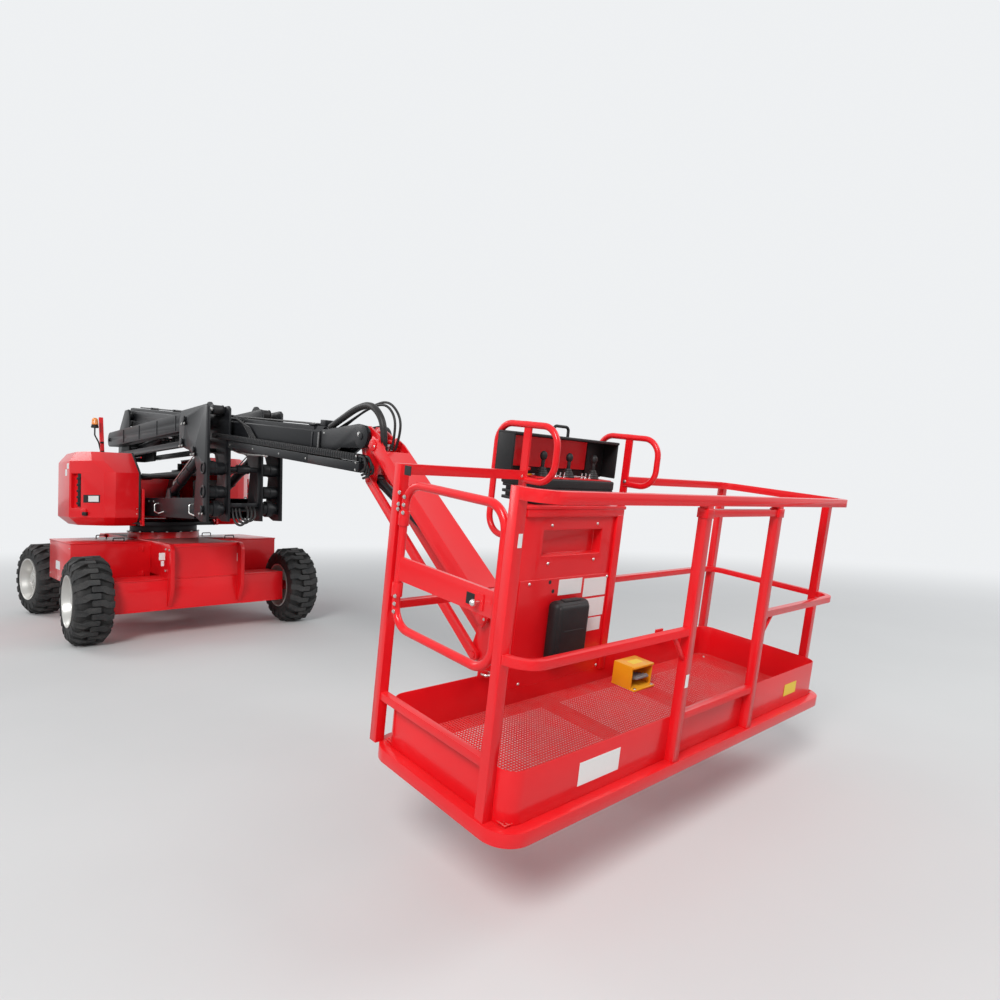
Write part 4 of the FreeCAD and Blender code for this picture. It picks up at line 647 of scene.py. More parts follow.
RED_NODES = ("chassis_frame", "front_axle", "rear_axle", "side_box_right", "side_box_left",
             "tip_bracket", "jib_arm", "jib_links", "platform_support", "platform_base", "toe_boards",
             "guard_rails", "gate", "drop_bar")
BLACK_NODES = ("slew_ring", "lower_riser_arm", "lower_link", "knuckle", "riser_ram_barrel",
               "upper_riser_arms", "upper_links", "riser_head", "lift_ram_barrel", "fly_boom",
               "jib_ram_barrel", "steering_knuckle_right", "steering_knuckle_left")


class BOOMLIFT_OT_painted_parts(bpy.types.Operator):
    """Round the edges of the painted steelwork and give it its paint"""
    bl_idname = "boomlift.painted_parts"
    bl_label = "Painted steelwork"

    def execute(self, context):
        for nodes, material in ((RED_NODES, "RedPaint"), (BLACK_NODES, "BlackPaint")):
            for node in nodes:
                softened(node, material)
        for node, material in (("riser_ram_rod", "BrightSteel"), ("lift_ram_rod", "BrightSteel"),
                               ("jib_ram_rod", "BrightSteel"), ("engine_block", "EngineMetal")):
            softened(node, material)
        return {"FINISHED"}


class BOOMLIFT_OT_hoses(bpy.types.Operator):
    """Lay the free hydraulic hoses at the boom's tip, under the knuckle and behind the boom"""
    bl_idname = "boomlift.hoses"
    bl_label = "Hoses"

    def execute(self, context):
        fly, tip = body_of("fly_boom"), body_of("tip_bracket")
        hose("tip_sleeve", ((4.26, -0.045, 2.030), (4.42, -0.045, 2.075), (4.66, -0.05, 2.140),
                            (4.86, -0.055, 2.145), (4.985, -0.055, 2.05), (5.02, -0.05, 1.93),
                            (4.985, -0.03, 1.80)), 0.025, fly, tip)
        for number, rise in enumerate((0.0, 0.022)):
            y = 0.01 + 0.03 * number
            hose("tip_hose_%d" % number, (
                (4.28, y, 2.020), (4.50, y, 2.075 + rise), (4.74, y, 2.14 + rise), (4.94, y, 2.15 + rise),
                (5.06 + rise, y, 2.05), (5.06 + rise, y, 1.92), (5.02, y, 1.815)), 0.009, fly, tip)
        jib, support = body_of("jib_arm"), body_of("platform_support")
        for number in range(3):
            low, out = 0.022 * number, 0.012 + 0.012 * number
            hose("jib_hose_%d" % number, (
                (5.75 - low, 0.117, 1.15 + low), (5.735 - low, 0.138, 1.02),
                (5.69 + low, 0.150 + out, 0.80), (5.78 + low, 0.148 + out, 0.635 + low),
                (5.94, 0.124, 0.582 + low), (6.08, 0.070, 0.63 + low)),
                0.011, jib, support)
        for number, y in enumerate((-0.105, -0.07, -0.035)):
            hose("knuckle_hose_%d" % number, (
                (2.45, y, 1.40), (2.50, y - 0.01, 1.30), (2.53, y + 0.01, 1.225 + 0.02 * number),
                (2.58, y + 0.05, 1.205 + 0.02 * number), (2.60, y + 0.10, 1.28), (2.54, y + 0.12, 1.37),
                (2.45, y + 0.13, 1.40)), 0.011, body_of("knuckle"))
        for number, y in enumerate((-0.125, -0.09, 0.09, 0.125)):
            lift = 0.012 * (number % 2)
            hose("head_hose_%d" % number, (
                (-1.37, y, 2.375), (-1.375, y, 2.50 + lift), (-1.32, y, 2.62 + lift), (-1.20, y, 2.675),
                (-1.10, y, 2.645), (-1.06, y, 2.56)), 0.012, body_of("riser_head"))
        return {"FINISHED"}


# The hood's side, rear and inner edge, then each level's height, front corner, nose corner, and
# insets of its side and rear. HOOD_NOSE is where the grips' flat meets the side, and HOOD_ALONG and
# HOOD_OUT run along that flat and out of it.
HOOD_SIDE, HOOD_REAR, HOOD_INNER = 1.03, -0.94, 0.430
HOOD_NOSE = Vector((0.09, -HOOD_SIDE, 0))
HOOD_ALONG, HOOD_OUT = Vector((0.8727, 0.4883, 0)), Vector((0.4883, -0.8727, 0))
HOOD_LEVELS = ((1.150, 0.485, 0.660, 0.430, 0.730, 0.100, 0.090),
               (1.245, 0.600, 0.680, 0.535, 0.781, 0.0, 0.0),
               (1.750, 0.600, 0.680, 0.535, 0.781, 0.0, 0.0),
               (1.880, 0.425, 0.760, 0.375, 0.870, 0.0, 0.0),
               (1.990, 0.280, 0.760, 0.230, 0.850, 0.075, 0.060))


def hood_shell():
    """The right hood's moulded shell, open below and towards the linkage."""
    bm = bmesh.new()
    rings = []
    for z, front_x, front_y, nose_x, nose_y, side_in, rear_in in HOOD_LEVELS:
        side, rear = HOOD_SIDE - side_in, HOOD_REAR + rear_in
        corners = ((-0.760, HOOD_INNER), (rear, 0.690), (rear, 0.80 - side_in / 2),
                   (-0.54 + side_in / 2, side), (0.09 - side_in / 2, side), (nose_x, nose_y),
                   (front_x, front_y), (front_x, HOOD_INNER))
        rings.append([bm.verts.new((x, -y, z)) for x, y in corners])
    for low, high in zip(rings, rings[1:]):
        for n in range(7):
            bm.faces.new((low[n], low[n + 1], high[n + 1], high[n]))
    bm.faces.new(rings[-1])
    bmesh.ops.recalc_face_normals(bm, faces=bm.faces)
    bm.faces.ensure_lookup_table()
    if bm.faces[-1].normal.z < 0:
        bmesh.ops.reverse_faces(bm, faces=bm.faces)
    bmesh.ops.solidify(bm, geom=bm.faces[:], thickness=0.010)
    bm.normal_update()
    return bm


class BOOMLIFT_OT_hoods(bpy.types.Operator):
    """Mould the two hoods with their grip pockets, rubber edges, latches and blank plates"""
    bl_idname = "boomlift.hoods"
    bl_label = "Hoods"

    def execute(self, context):
        along, out, nose = HOOD_ALONG, HOOD_OUT, HOOD_NOSE
        for side, sign in (("right", -1), ("left", 1)):
            flip = Matrix.Scale(-sign, 4, (0, 1, 0))
            bm = hood_shell()
            for depth, grow, normal in ((0.045, 0.0, out), (-0.050, 0.008, -out)):
                level = 0.0 if depth > 0 else -0.01
                corners = [nose + along * s + out * level + Vector((0, 0, z))
                           for s, z in ((0.030 - grow, 1.348 - grow), (0.175 + grow, 1.348 - grow),
                                        (0.175 + grow, 1.738 + grow), (0.030 - grow, 1.738 + grow))]
                pocket(bm, normal, corners, depth)
            round_off(bm, 0.009, 11, 3)
            bmesh.ops.transform(bm, matrix=MACHINE @ flip, verts=bm.verts)
            if sign > 0:
                bmesh.ops.reverse_faces(bm, faces=bm.faces)
            piece = finish("hood_%s_shell" % side, bm, body_of("hood_" + side), ["RedPaint"], sharp=17)
            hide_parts("hood_" + side)

            bm = bmesh.new()
            edge = ((0.485, 1.153), (0.598, 1.245), (0.598, 1.750), (0.424, 1.880), (0.279, 1.988),
                    (-0.757, 1.988))
            for (x0, z0), (x1, z1) in zip(edge, edge[1:]):
                run = Vector((x1 - x0, 0, z1 - z0))
                add_box(bm, (-0.008, -0.011, -0.004), (run.length + 0.008, 0.011, 0.007), 0.003, 2, 0,
                        facing((x0, -0.436, z0), Vector((run.z, 0, -run.x)), run))
            grip = nose + along * 0.135 - out * 0.030
            add_box(bm, (-0.022, -0.19, -0.010), (0.022, 0.19, 0.022), 0.006, 3, 1,
                    facing(grip + Vector((0, 0, 1.552)), out, along))
            for z in (1.40, 1.47, 1.54, 1.61, 1.68):
                add_box(bm, (-0.028, -0.014, -0.010), (0.028, 0.014, 0.030), 0.004, 2, 1,
                        facing(grip + Vector((0, 0, z)), out, along))
            latch = nose + along * 0.235
            add_box(bm, (-0.045, -0.030, -0.004), (0.030, 0.022, 0.016), 0.007, 3, 2,
                    facing(latch + Vector((0, 0, 1.318)), out, along))
            add_box(bm, (-0.010, -0.036, 0.0), (0.050, 0.004, 0.030), 0.006, 3, 1,
                    facing(latch + Vector((0, 0, 1.300)), out, along))
            plate = nose + along * 0.335 + Vector((0, 0, 1.453))
            add_plate(bm, plate, out, along, 0.245, 0.088, 1)
            add_plate(bm, plate + along * 0.028 + out * 0.0012, out, along, 0.150, 0.066, 3)
            for x, z, high in ((0.005, 1.825, 0.062), (-0.085, 1.752, 0.074)):
                add_plate(bm, (x, -HOOD_SIDE, z), (0, -1, 0), (1, 0, 0), 0.105, high, 3)
            for z in (1.343, 1.286):
                add_dome(bm, (0.600, -0.461, z), (1, 0, 0), 0.007, 4)
            if sign > 0:
                bmesh.ops.mirror(bm, geom=bm.verts[:] + bm.edges[:] + bm.faces[:], axis="Y",
                                 merge_dist=-1)
                bmesh.ops.delete(bm, geom=[vert for vert in bm.verts if vert.co.y < 0], context="VERTS")
                bmesh.ops.recalc_face_normals(bm, faces=bm.faces)
            finish("hood_%s_fittings" % side, bm, body_of("hood_" + side),
                   ["HoseRubber", "BlackPlastic", "RedPaint", "BlankLabel", "ZincBolt"], MACHINE)
        return {"FINISHED"}


class BOOMLIFT_OT_counterweight(bpy.types.Operator):
    """Round the counterweight and set the leaning mast with its amber beacon on it"""
    bl_idname = "boomlift.counterweight"
    bl_label = "Counterweight and beacon"

    def execute(self, context):
        softened("counterweight", "RedPaint", 0.006, 20, 3)
        bm = bmesh.new()
        start, end = Vector((-1.050, -0.45, 1.775)), Vector((-1.205, -0.45, 2.54))
        add_box(bm, (-0.025, -0.015, 0), (0.025, 0.015, (end - start).length), 0.004, 2, 2,
                stand(start, end - start))
        add_box(bm, (-1.115, -0.51, 1.778), (-0.985, -0.39, 1.790), 0.003, 2, 2)
        for x in (-1.100, -1.000):
            for y in (-0.495, -0.405):
                add_bolt(bm, (x, y, 1.790), (0, 0, 1), 0.008, 0.008, 3)
        foot = Vector((-1.075, -0.545, 2.385))
        add_rod(bm, foot, foot + Vector((0, 0, 0.022)), 0.044, 40, 0.004)
        add_rod(bm, foot + Vector((0, 0, 0.020)), foot + Vector((0, 0, 0.040)), 0.040, 40)
        add_lathe(bm, ((0.038, 0.001), (0.038, 0.037), (0.046, 0.041), (0.050, 0.039), (0.100, 0.036),
                       (0.118, 0.031), (0.129, 0.020), (0.1335, 0.001)), (0, 0, 1), 40, 1, foot)
        sweep(bm, ((-1.075, -0.545, 2.387), (-1.075, -0.545, 2.29), (-1.115, -0.49, 2.20),
                   (-1.120, -0.468, 2.10)), 0.009, 0.03)
        for z in (1.95, 2.08, 2.20):
            x = -1.050 - 0.155 * (z - 1.775) / 0.765
            add_box(bm, (x - 0.030, -0.472, z - 0.011), (x + 0.030, -0.430, z + 0.011))
        finish("beacon", bm, body_of("counterweight"),
               ["BlackPlastic", "AmberLens", "RedPaint", "ZincBolt"], MACHINE)
        return {"FINISHED"}


def cut_away(bm, low, high, at, normal):
    """Shorten the pieces inside a box to a plane and close their ends."""
    parts = {item for face in centred_in(bm, low, high) for item in [face, *face.edges, *face.verts]}
    bmesh.ops.bisect_plane(bm, geom=list(parts), plane_co=at, plane_no=normal, clear_outer=False)
    normal, at = Vector(normal), Vector(at)
    away = [face for face in centred_in(bm, low, high)
            if (face.calc_center_median() - at).dot(normal) > 0.0001]
    bmesh.ops.delete(bm, geom=away, context="FACES")
    bmesh.ops.holes_fill(bm, edges=[edge for edge in bm.edges if edge.is_boundary], sides=0)


class BOOMLIFT_OT_turntable(bpy.types.Operator):
    """Trim the turntable's side decks to the hoods and paint its front post"""
    bl_idname = "boomlift.turntable"
    bl_label = "Turntable"

    def execute(self, context):
        bm = merged("turntable_frame")
        bmesh.ops.transform(bm, matrix=MACHINE.inverted(), verts=bm.verts)
        for old, new in (((0.565, 0.670), (0.440, 0.610)), ((0.465, 0.810), (0.360, 0.720))):
            for vert in bm.verts:
                if 1.16 < vert.co.z < 1.20 and math.dist((vert.co.x, abs(vert.co.y)), old) < 0.012:
                    vert.co.x, vert.co.y = new[0], math.copysign(new[1], vert.co.y)
        for side in (-1, 1):
            y0, y1 = sorted((side * 0.385, side * 0.435))
            cut_away(bm, (0.20, y0, 1.60), (0.62, y1, 1.98), (0.28, 0, 0), (1, 0, 0))
            cut_away(bm, (0.53, y0, 1.20), (0.62, y1, 1.98), (0, 0, 1.56), (0, 0, 1))
        bmesh.ops.delete(bm, geom=[edge for edge in bm.edges if not edge.link_faces], context="EDGES")
        for face in bm.faces:
            middle = face.calc_center_median()
            if middle.x > 0.53 and abs(middle.y) > 0.38 and middle.z > 1.192:
                face.material_index = 1
        round_off(bm, 0.002)
        for side in (-1, 1):
            add_cap(bm, -0.760, 1.755, side, 0.383, 0.397, 0.036)
            y0, y1 = sorted((side * 0.398, side * 0.424))
            add_box(bm, (0.585, y0, 1.152), (0.665, y1, 1.190), 0.003, 2, 1)
            add_box(bm, (0.636, y0, 1.160), (0.662, y1, 1.570), 0.003, 2, 1)
        piece = finish("turntable_shell", bm, body_of("turntable_frame"), ["BlackPaint", "RedPaint"],
                       MACHINE)
        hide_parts("turntable_frame")
        return {"FINISHED"}


# Where along the machine the knuckle's three front pins stand.
KNUCKLE_PINS = 2.44


class BOOMLIFT_OT_linkage(bpy.types.Operator):
    """Add the riser linkage's collars, pin plates, rollers, handles and pipes"""
    bl_idname = "boomlift.linkage"
    bl_label = "Linkage fittings"

    def execute(self, context):
        bm = bmesh.new()
        for side in (-1, 1):
            for z in (1.755, 1.530):
                ring = ((0.362, 0.040), (0.362, 0.060), (0.380, 0.060), (0.384, 0.056), (0.384, 0.043),
                        (0.381, 0.040))
                add_lathe(bm, [(side * a, r) for a, r in ring], (0, 1, 0), 40, 0, (KNUCKLE_PINS, 0, z))
                # A thin near-black disc set inside each collar is painted shade: it stands for the dark inside of
                # the open bore.
                add_cap(bm, KNUCKLE_PINS, z, side, 0.3705, 0.3725, 0.041, 32, 0, 2)
            for x, z in ((2.43, 1.367), (1.90, 2.26), (1.84, 2.04), (2.18, 1.94)):
                add_cap(bm, x, z, side, 0.376, 0.392, 0.034)
                add_box(bm, (x - 0.055, side * 0.384 - 0.004, z - 0.060),
                        (x + 0.055, side * 0.384 + 0.004, z - 0.030), 0.002)
                for dx in (-0.038, 0.038):
                    add_bolt(bm, (x + dx, side * 0.388, z - 0.045), (0, side, 0), 0.009, 0.008, 1)
            lug = [bm.verts.new((x, side * 0.220, z)) for x, z in (
                (2.075, 2.30), (2.075, 2.36), (2.165, 2.418), (2.215, 2.418), (2.34, 2.335),
                (2.34, 2.30))]
            face = bm.faces.new(lug)
            drawn = bmesh.ops.extrude_face_region(bm, geom=[face])["geom"]
            bmesh.ops.translate(bm, vec=(0, side * 0.024, 0), verts=only(bmesh.types.BMVert, drawn))
            roller_x, roller_z = 2.394, 2.322
            add_cap(bm, roller_x, roller_z, side, 0.185, 0.280, 0.045, 32, 0.004, 2)
            for y in (0.185, 0.28):
                add_rod(bm, (roller_x, side * y - 0.004, roller_z),
                        (roller_x, side * y + 0.004, roller_z), 0.050, 32, 0.002)
            add_cap(bm, roller_x, roller_z, side, 0.17, 0.295, 0.018, 20, 0.002, 1)
            add_box(bm, (2.30, side * 0.232 - 0.012, 2.285), (2.40, side * 0.232 + 0.012, 2.345))
        for y0, y1 in ((-0.152, -0.02), (-0.02, 0.152)):
            add_box(bm, (2.40, y0, 1.385), (2.49, y1, 1.425), 0.004)
        for side in (-1, 1):
            for z, radius in ((1.755, 0.062), (1.530, 0.062), (1.367, 0.058)):
                add_cap(bm, KNUCKLE_PINS, z, side, 0.190, 0.340, radius, 40, 0.006)
                add_cap(bm, KNUCKLE_PINS, z, side, 0.255, 0.275, radius + 0.006, 40)
        bmesh.ops.recalc_face_normals(bm, faces=bm.faces)
        finish("knuckle_fittings", bm, body_of("knuckle"), ["BlackPaint", "ZincBolt", "HoseRubber"],
               MACHINE)

        bm = bmesh.new()
        for side in (-1, 1):
            for x in (0.868, 2.00):
                near, far = side * 0.309, side * 0.352
                sweep(bm, ((x, near, 1.410), (x, far, 1.402), (x + 0.005, far, 1.318),
                           (x + 0.15, far, 1.300), (x + 0.19, near, 1.322)), 0.007, 0.02)
            for x in (0.50, 0.68):
                add_bolt(bm, (x, side * 0.310, 1.43), (0, side, 0), 0.010, 0.008)
            add_cap(bm, -0.770, 1.367, side, 0.383, 0.397, 0.036, 32, 0.003, 1)
        finish("lower_arm_fittings", bm, body_of("lower_riser_arm"), ["ZincBolt", "BlackPaint"],
               MACHINE)

        bm = bmesh.new()
        for side in (-1, 1):
            add_bolt(bm, (1.736, side * 0.3225, 2.225), (0, side, 0), 0.014, 0.012)
            for x in (-0.60, 0.10, 0.80, 1.45):
                add_box(bm, (x, side * 0.324 - 0.004, 2.178), (x + 0.012, side * 0.324 + 0.002, 2.342),
                        0.001, 1, 1)
            sweep(bm, [(x, side * 0.262, 2.362) for x in (-1.1, 0.2, 1.62)], 0.008, 0.02, 10, 1)
        finish("upper_arm_fittings", bm, body_of("upper_riser_arms"), ["ZincBolt", "BlackPaint"],
               MACHINE)

        barrel = Matrix.Translation((1.200, 0, 1.532)) @ Matrix.Rotation(math.radians(-22.6), 4, "Y")
        bm = bmesh.new()
        for side in (-1, 1):
            y = side * 0.262
            for at, bend in ((y - 0.018, 0.60), (y + 0.018, 0.60 + 0.2)):
                sweep(bm, ((0.10, at, 0.047), (0.13, at, 0.072), (bend, at, 0.074), (0.88, at, 0.070),
                           (0.92, at, 0.045)), 0.007, 0.02)
            for x in (0.30, 0.62, 0.90):
                add_lathe(bm, ((-0.010, 0.0455), (-0.010, 0.051), (0.010, 0.051), (0.010, 0.0455)),
                          (1, 0, 0), 32, 1, (x, y, 0))
            for x in (0.12, 0.90):
                add_rod(bm, (x, y, 0.040), (x, y, 0.085), 0.016, 6, 0.001)
        finish("riser_ram_pipes", bm, body_of("riser_ram_barrel"), ["ZincBolt", "BlackPaint"],
               MACHINE @ barrel)
        return {"FINISHED"}


class BOOMLIFT_OT_booms(bpy.types.Operator):
    """Shape the main boom, its hose carrier and the fittings of the fly boom and jib"""
    bl_idname = "boomlift.booms"
    bl_label = "Booms and hose carrier"

    def execute(self, context):
        bm = merged("main_boom")
        back = BOOM.inverted()
        tops = []
        for edge in bm.edges:
            ends = [back @ vert.co for vert in edge.verts]
            if edge.calc_length() > 3.0 and all(end.z > 0.12 and abs(end.y) > 0.095 for end in ends):
                tops.append(edge)
        bevel_edges(bm, tops, 0.045, 1)
        round_off(bm, 0.003)
        piece = finish("main_boom_shell", bm, body_of("main_boom"), ["BlackPaint"])
        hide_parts("main_boom")

        bm = bmesh.new()
        for x0, x1 in ((-0.10, 0.02), (1.9, 1.93), (3.05, 3.08), (5.17, 5.30)):
            add_box(bm, (x0, -0.1045, -0.129), (x1, 0.1045, -0.060))
        for side in (-1, 1):
            for x, material in ((5.175, 0), (5.28, 1)):
                add_box(bm, (x, side * 0.103 - 0.004, -0.125), (x + 0.02, side * 0.103 + 0.004, 0.075),
                        0.002, 2, material)
            add_cap(bm, 0, 0, side, 0.100, 0.152, 0.048, 32, 0.004)
        for number in range(4):
            x, fall = 3.60 + 0.055 * number, 0.012 * number
            sweep(bm, ((x, -0.040, 0.128), (x + 0.03, -0.112, 0.120 - fall),
                       (x + 0.22, -0.114, 0.080 - fall), (x + 0.38, -0.114, -0.020 - fall),
                       (x + 0.42, -0.108, -0.100)), 0.009, 0.05, 10, 3)
        add_box(bm, (5.20, -0.050, 0.124), (5.285, 0.050, 0.175), 0.006, 3)
        add_box(bm, (5.05, -0.070, 0.124), (5.16, 0.070, 0.140))
        for x in (5.08, 5.13):
            for y in (-0.05, 0.05):
                add_bolt(bm, (x, y, 0.140), (0, 0, 1), 0.008, 0.007, 2)
        for x in (0.6, 1.5, 2.4, 3.3):
            add_box(bm, (x, -0.045, 0.124), (x + 0.05, 0.045, 0.150), 0.004)
        for y in (-0.027, -0.009, 0.009, 0.027):
            sweep(bm, ((0.10, y, 0.137), (2.6, y, 0.137), (5.18, y, 0.139)), 0.008, 0.02, 8, 3)
        finish("main_boom_fittings", bm, body_of("main_boom"),
               ["BlackPaint", "EngineMetal", "ZincBolt", "HoseRubber"], BOOM)

        # The hose carrier: a fixed channel, and a chain with its lower channel on the fly boom.
        softened("hose_tray", "BlackPaint")
        bm = bmesh.new()
        for x in (3.72, 4.25, 4.78, 5.26):
            add_box(bm, (x, -0.104, -0.165), (x + 0.03, -0.098, -0.070), 0.002)
            add_bolt(bm, (x + 0.015, -0.1905, -0.135), (0, -1, 0), 0.006, 0.005, 1)
        sweep(bm, ((3.62, -0.145, -0.176), (3.84, -0.145, -0.196), (4.12, -0.145, -0.196),
                   (4.40, -0.145, -0.178)), 0.010, 0.06, 12, 1)
        for x in (3.60, 4.42):
            add_rod(bm, (x - 0.03, -0.145, -0.176), (x + 0.03, -0.145, -0.176), 0.016, 6, 0.001, 1)
        finish("hose_tray_fittings", bm, body_of("hose_tray"), ["BlackPaint", "ZincBolt"], BOOM)

        bm = bmesh.new()
        add_box(bm, (5.302, -0.190, -0.170), (6.06, -0.118, -0.102), 0.004)
        start, end, pitch = 3.24, 6.06, 0.034
        for number in range(int((end - start) / pitch)):
            x = start + pitch * number
            add_box(bm, (x, -0.188, -0.094), (x + 0.029, -0.120, -0.044), 0.003, 1, 1)
            add_box(bm, (x + 0.006, -0.190, -0.082), (x + 0.023, -0.118, -0.056), 0.002, 1)
        add_box(bm, (start, -0.176, -0.096), (end, -0.132, -0.050), 0.001, 1)
        for x in (5.36, 5.98):
            add_box(bm, (x, -0.120, -0.150), (x + 0.05, -0.094, -0.050))
        for number in range(5):
            y, z = -0.175 + 0.012 * number, -0.060 - 0.022 * (number % 3)
            sweep(bm, ((6.00, y, z), (6.10, y, z), (6.13 + 0.012 * number, y + 0.004, z - 0.075),
                       (6.05, y + 0.010, z - 0.105)), 0.009, 0.035, 10, 2)
        for z in (-0.155, -0.105, -0.060):
            add_bolt(bm, (6.02, -0.190, z), (0, -1, 0), 0.006, 0.006, 3)
        finish("hose_carrier", bm, body_of("fly_boom"),
               ["BlackPaint", "BlackPlastic", "HoseRubber", "ZincBolt"], BOOM)

        bm = bmesh.new()
        for side in (-1, 1):
            add_box(bm, (5.30, side * 0.083 - 0.006, 0.050), (5.86, side * 0.083 + 0.006, 0.098), 0.004)
            add_cap(bm, 5.916, 0.078, side, 0.096, 0.1035, 0.086, 48)
            add_bolt(bm, (5.89, side * 0.1035, 0.092), (0, side, 0), 0.013, 0.010, 1)
            add_bolt(bm, (5.36, side * 0.089, 0.074), (0, side, 0), 0.009, 0.008, 1)
        add_box(bm, (5.33, -0.060, 0.101), (5.44, 0.060, 0.118))
        finish("fly_fittings", bm, body_of("fly_boom"), ["BlackPaint", "ZincBolt"], BOOM)

        bm = bmesh.new()
        for side in (-1, 1):
            for x, z, near, far, radius in (
                    (0, 0, 0.066, 0.073, 0.052), (0.07, -0.306, 0.060, 0.069, 0.045),
                    (0.16, -0.071, 0.060, 0.068, 0.045)):
                add_cap(bm, x, z, side, near, far, radius, 40)
            add_cap(bm, 0.02, 0.040, side, 0.0605, 0.064, 0.017, 20, 0.001, 2)
        for y in (-0.03, 0.0, 0.03):
            add_rod(bm, (0.185, y, -0.10), (0.20, y, -0.06), 0.015, 6, 0.001, 1)
        add_box(bm, (0.13, -0.045, -0.055), (0.205, 0.045, -0.030))
        finish("tip_fittings", bm, body_of("tip_bracket"), ["RedPaint", "ZincBolt", "HoseRubber"],
               MACHINE @ Matrix.Translation((4.8003, 0, 1.9162)))

        bm = bmesh.new()
        for side in (-1, 1):
            for x in (0.0, 1.55):
                add_cap(bm, x, 0, side, 0.1035, 0.1105, 0.043, 40)
                add_bolt(bm, (x + 0.03, side * 0.1105, 0.012), (0, side, 0), 0.006, 0.005, 1)
        for z in (-0.030, -0.010, 0.010, 0.030):
            sweep(bm, ((0.12, 0.113, z), (0.60, 0.113, z), (1.12, 0.113, z)), 0.008, 0.02, 8, 2)
        for x in (0.25, 0.65, 1.05):
            add_box(bm, (x, 0.103, -0.044), (x + 0.03, 0.124, 0.044), 0.003, 2, 3)
        finish("jib_fittings", bm, body_of("jib_arm"),
               ["RedPaint", "ZincBolt", "HoseRubber", "BlackPlastic"], JIB)
        return {"FINISHED"}


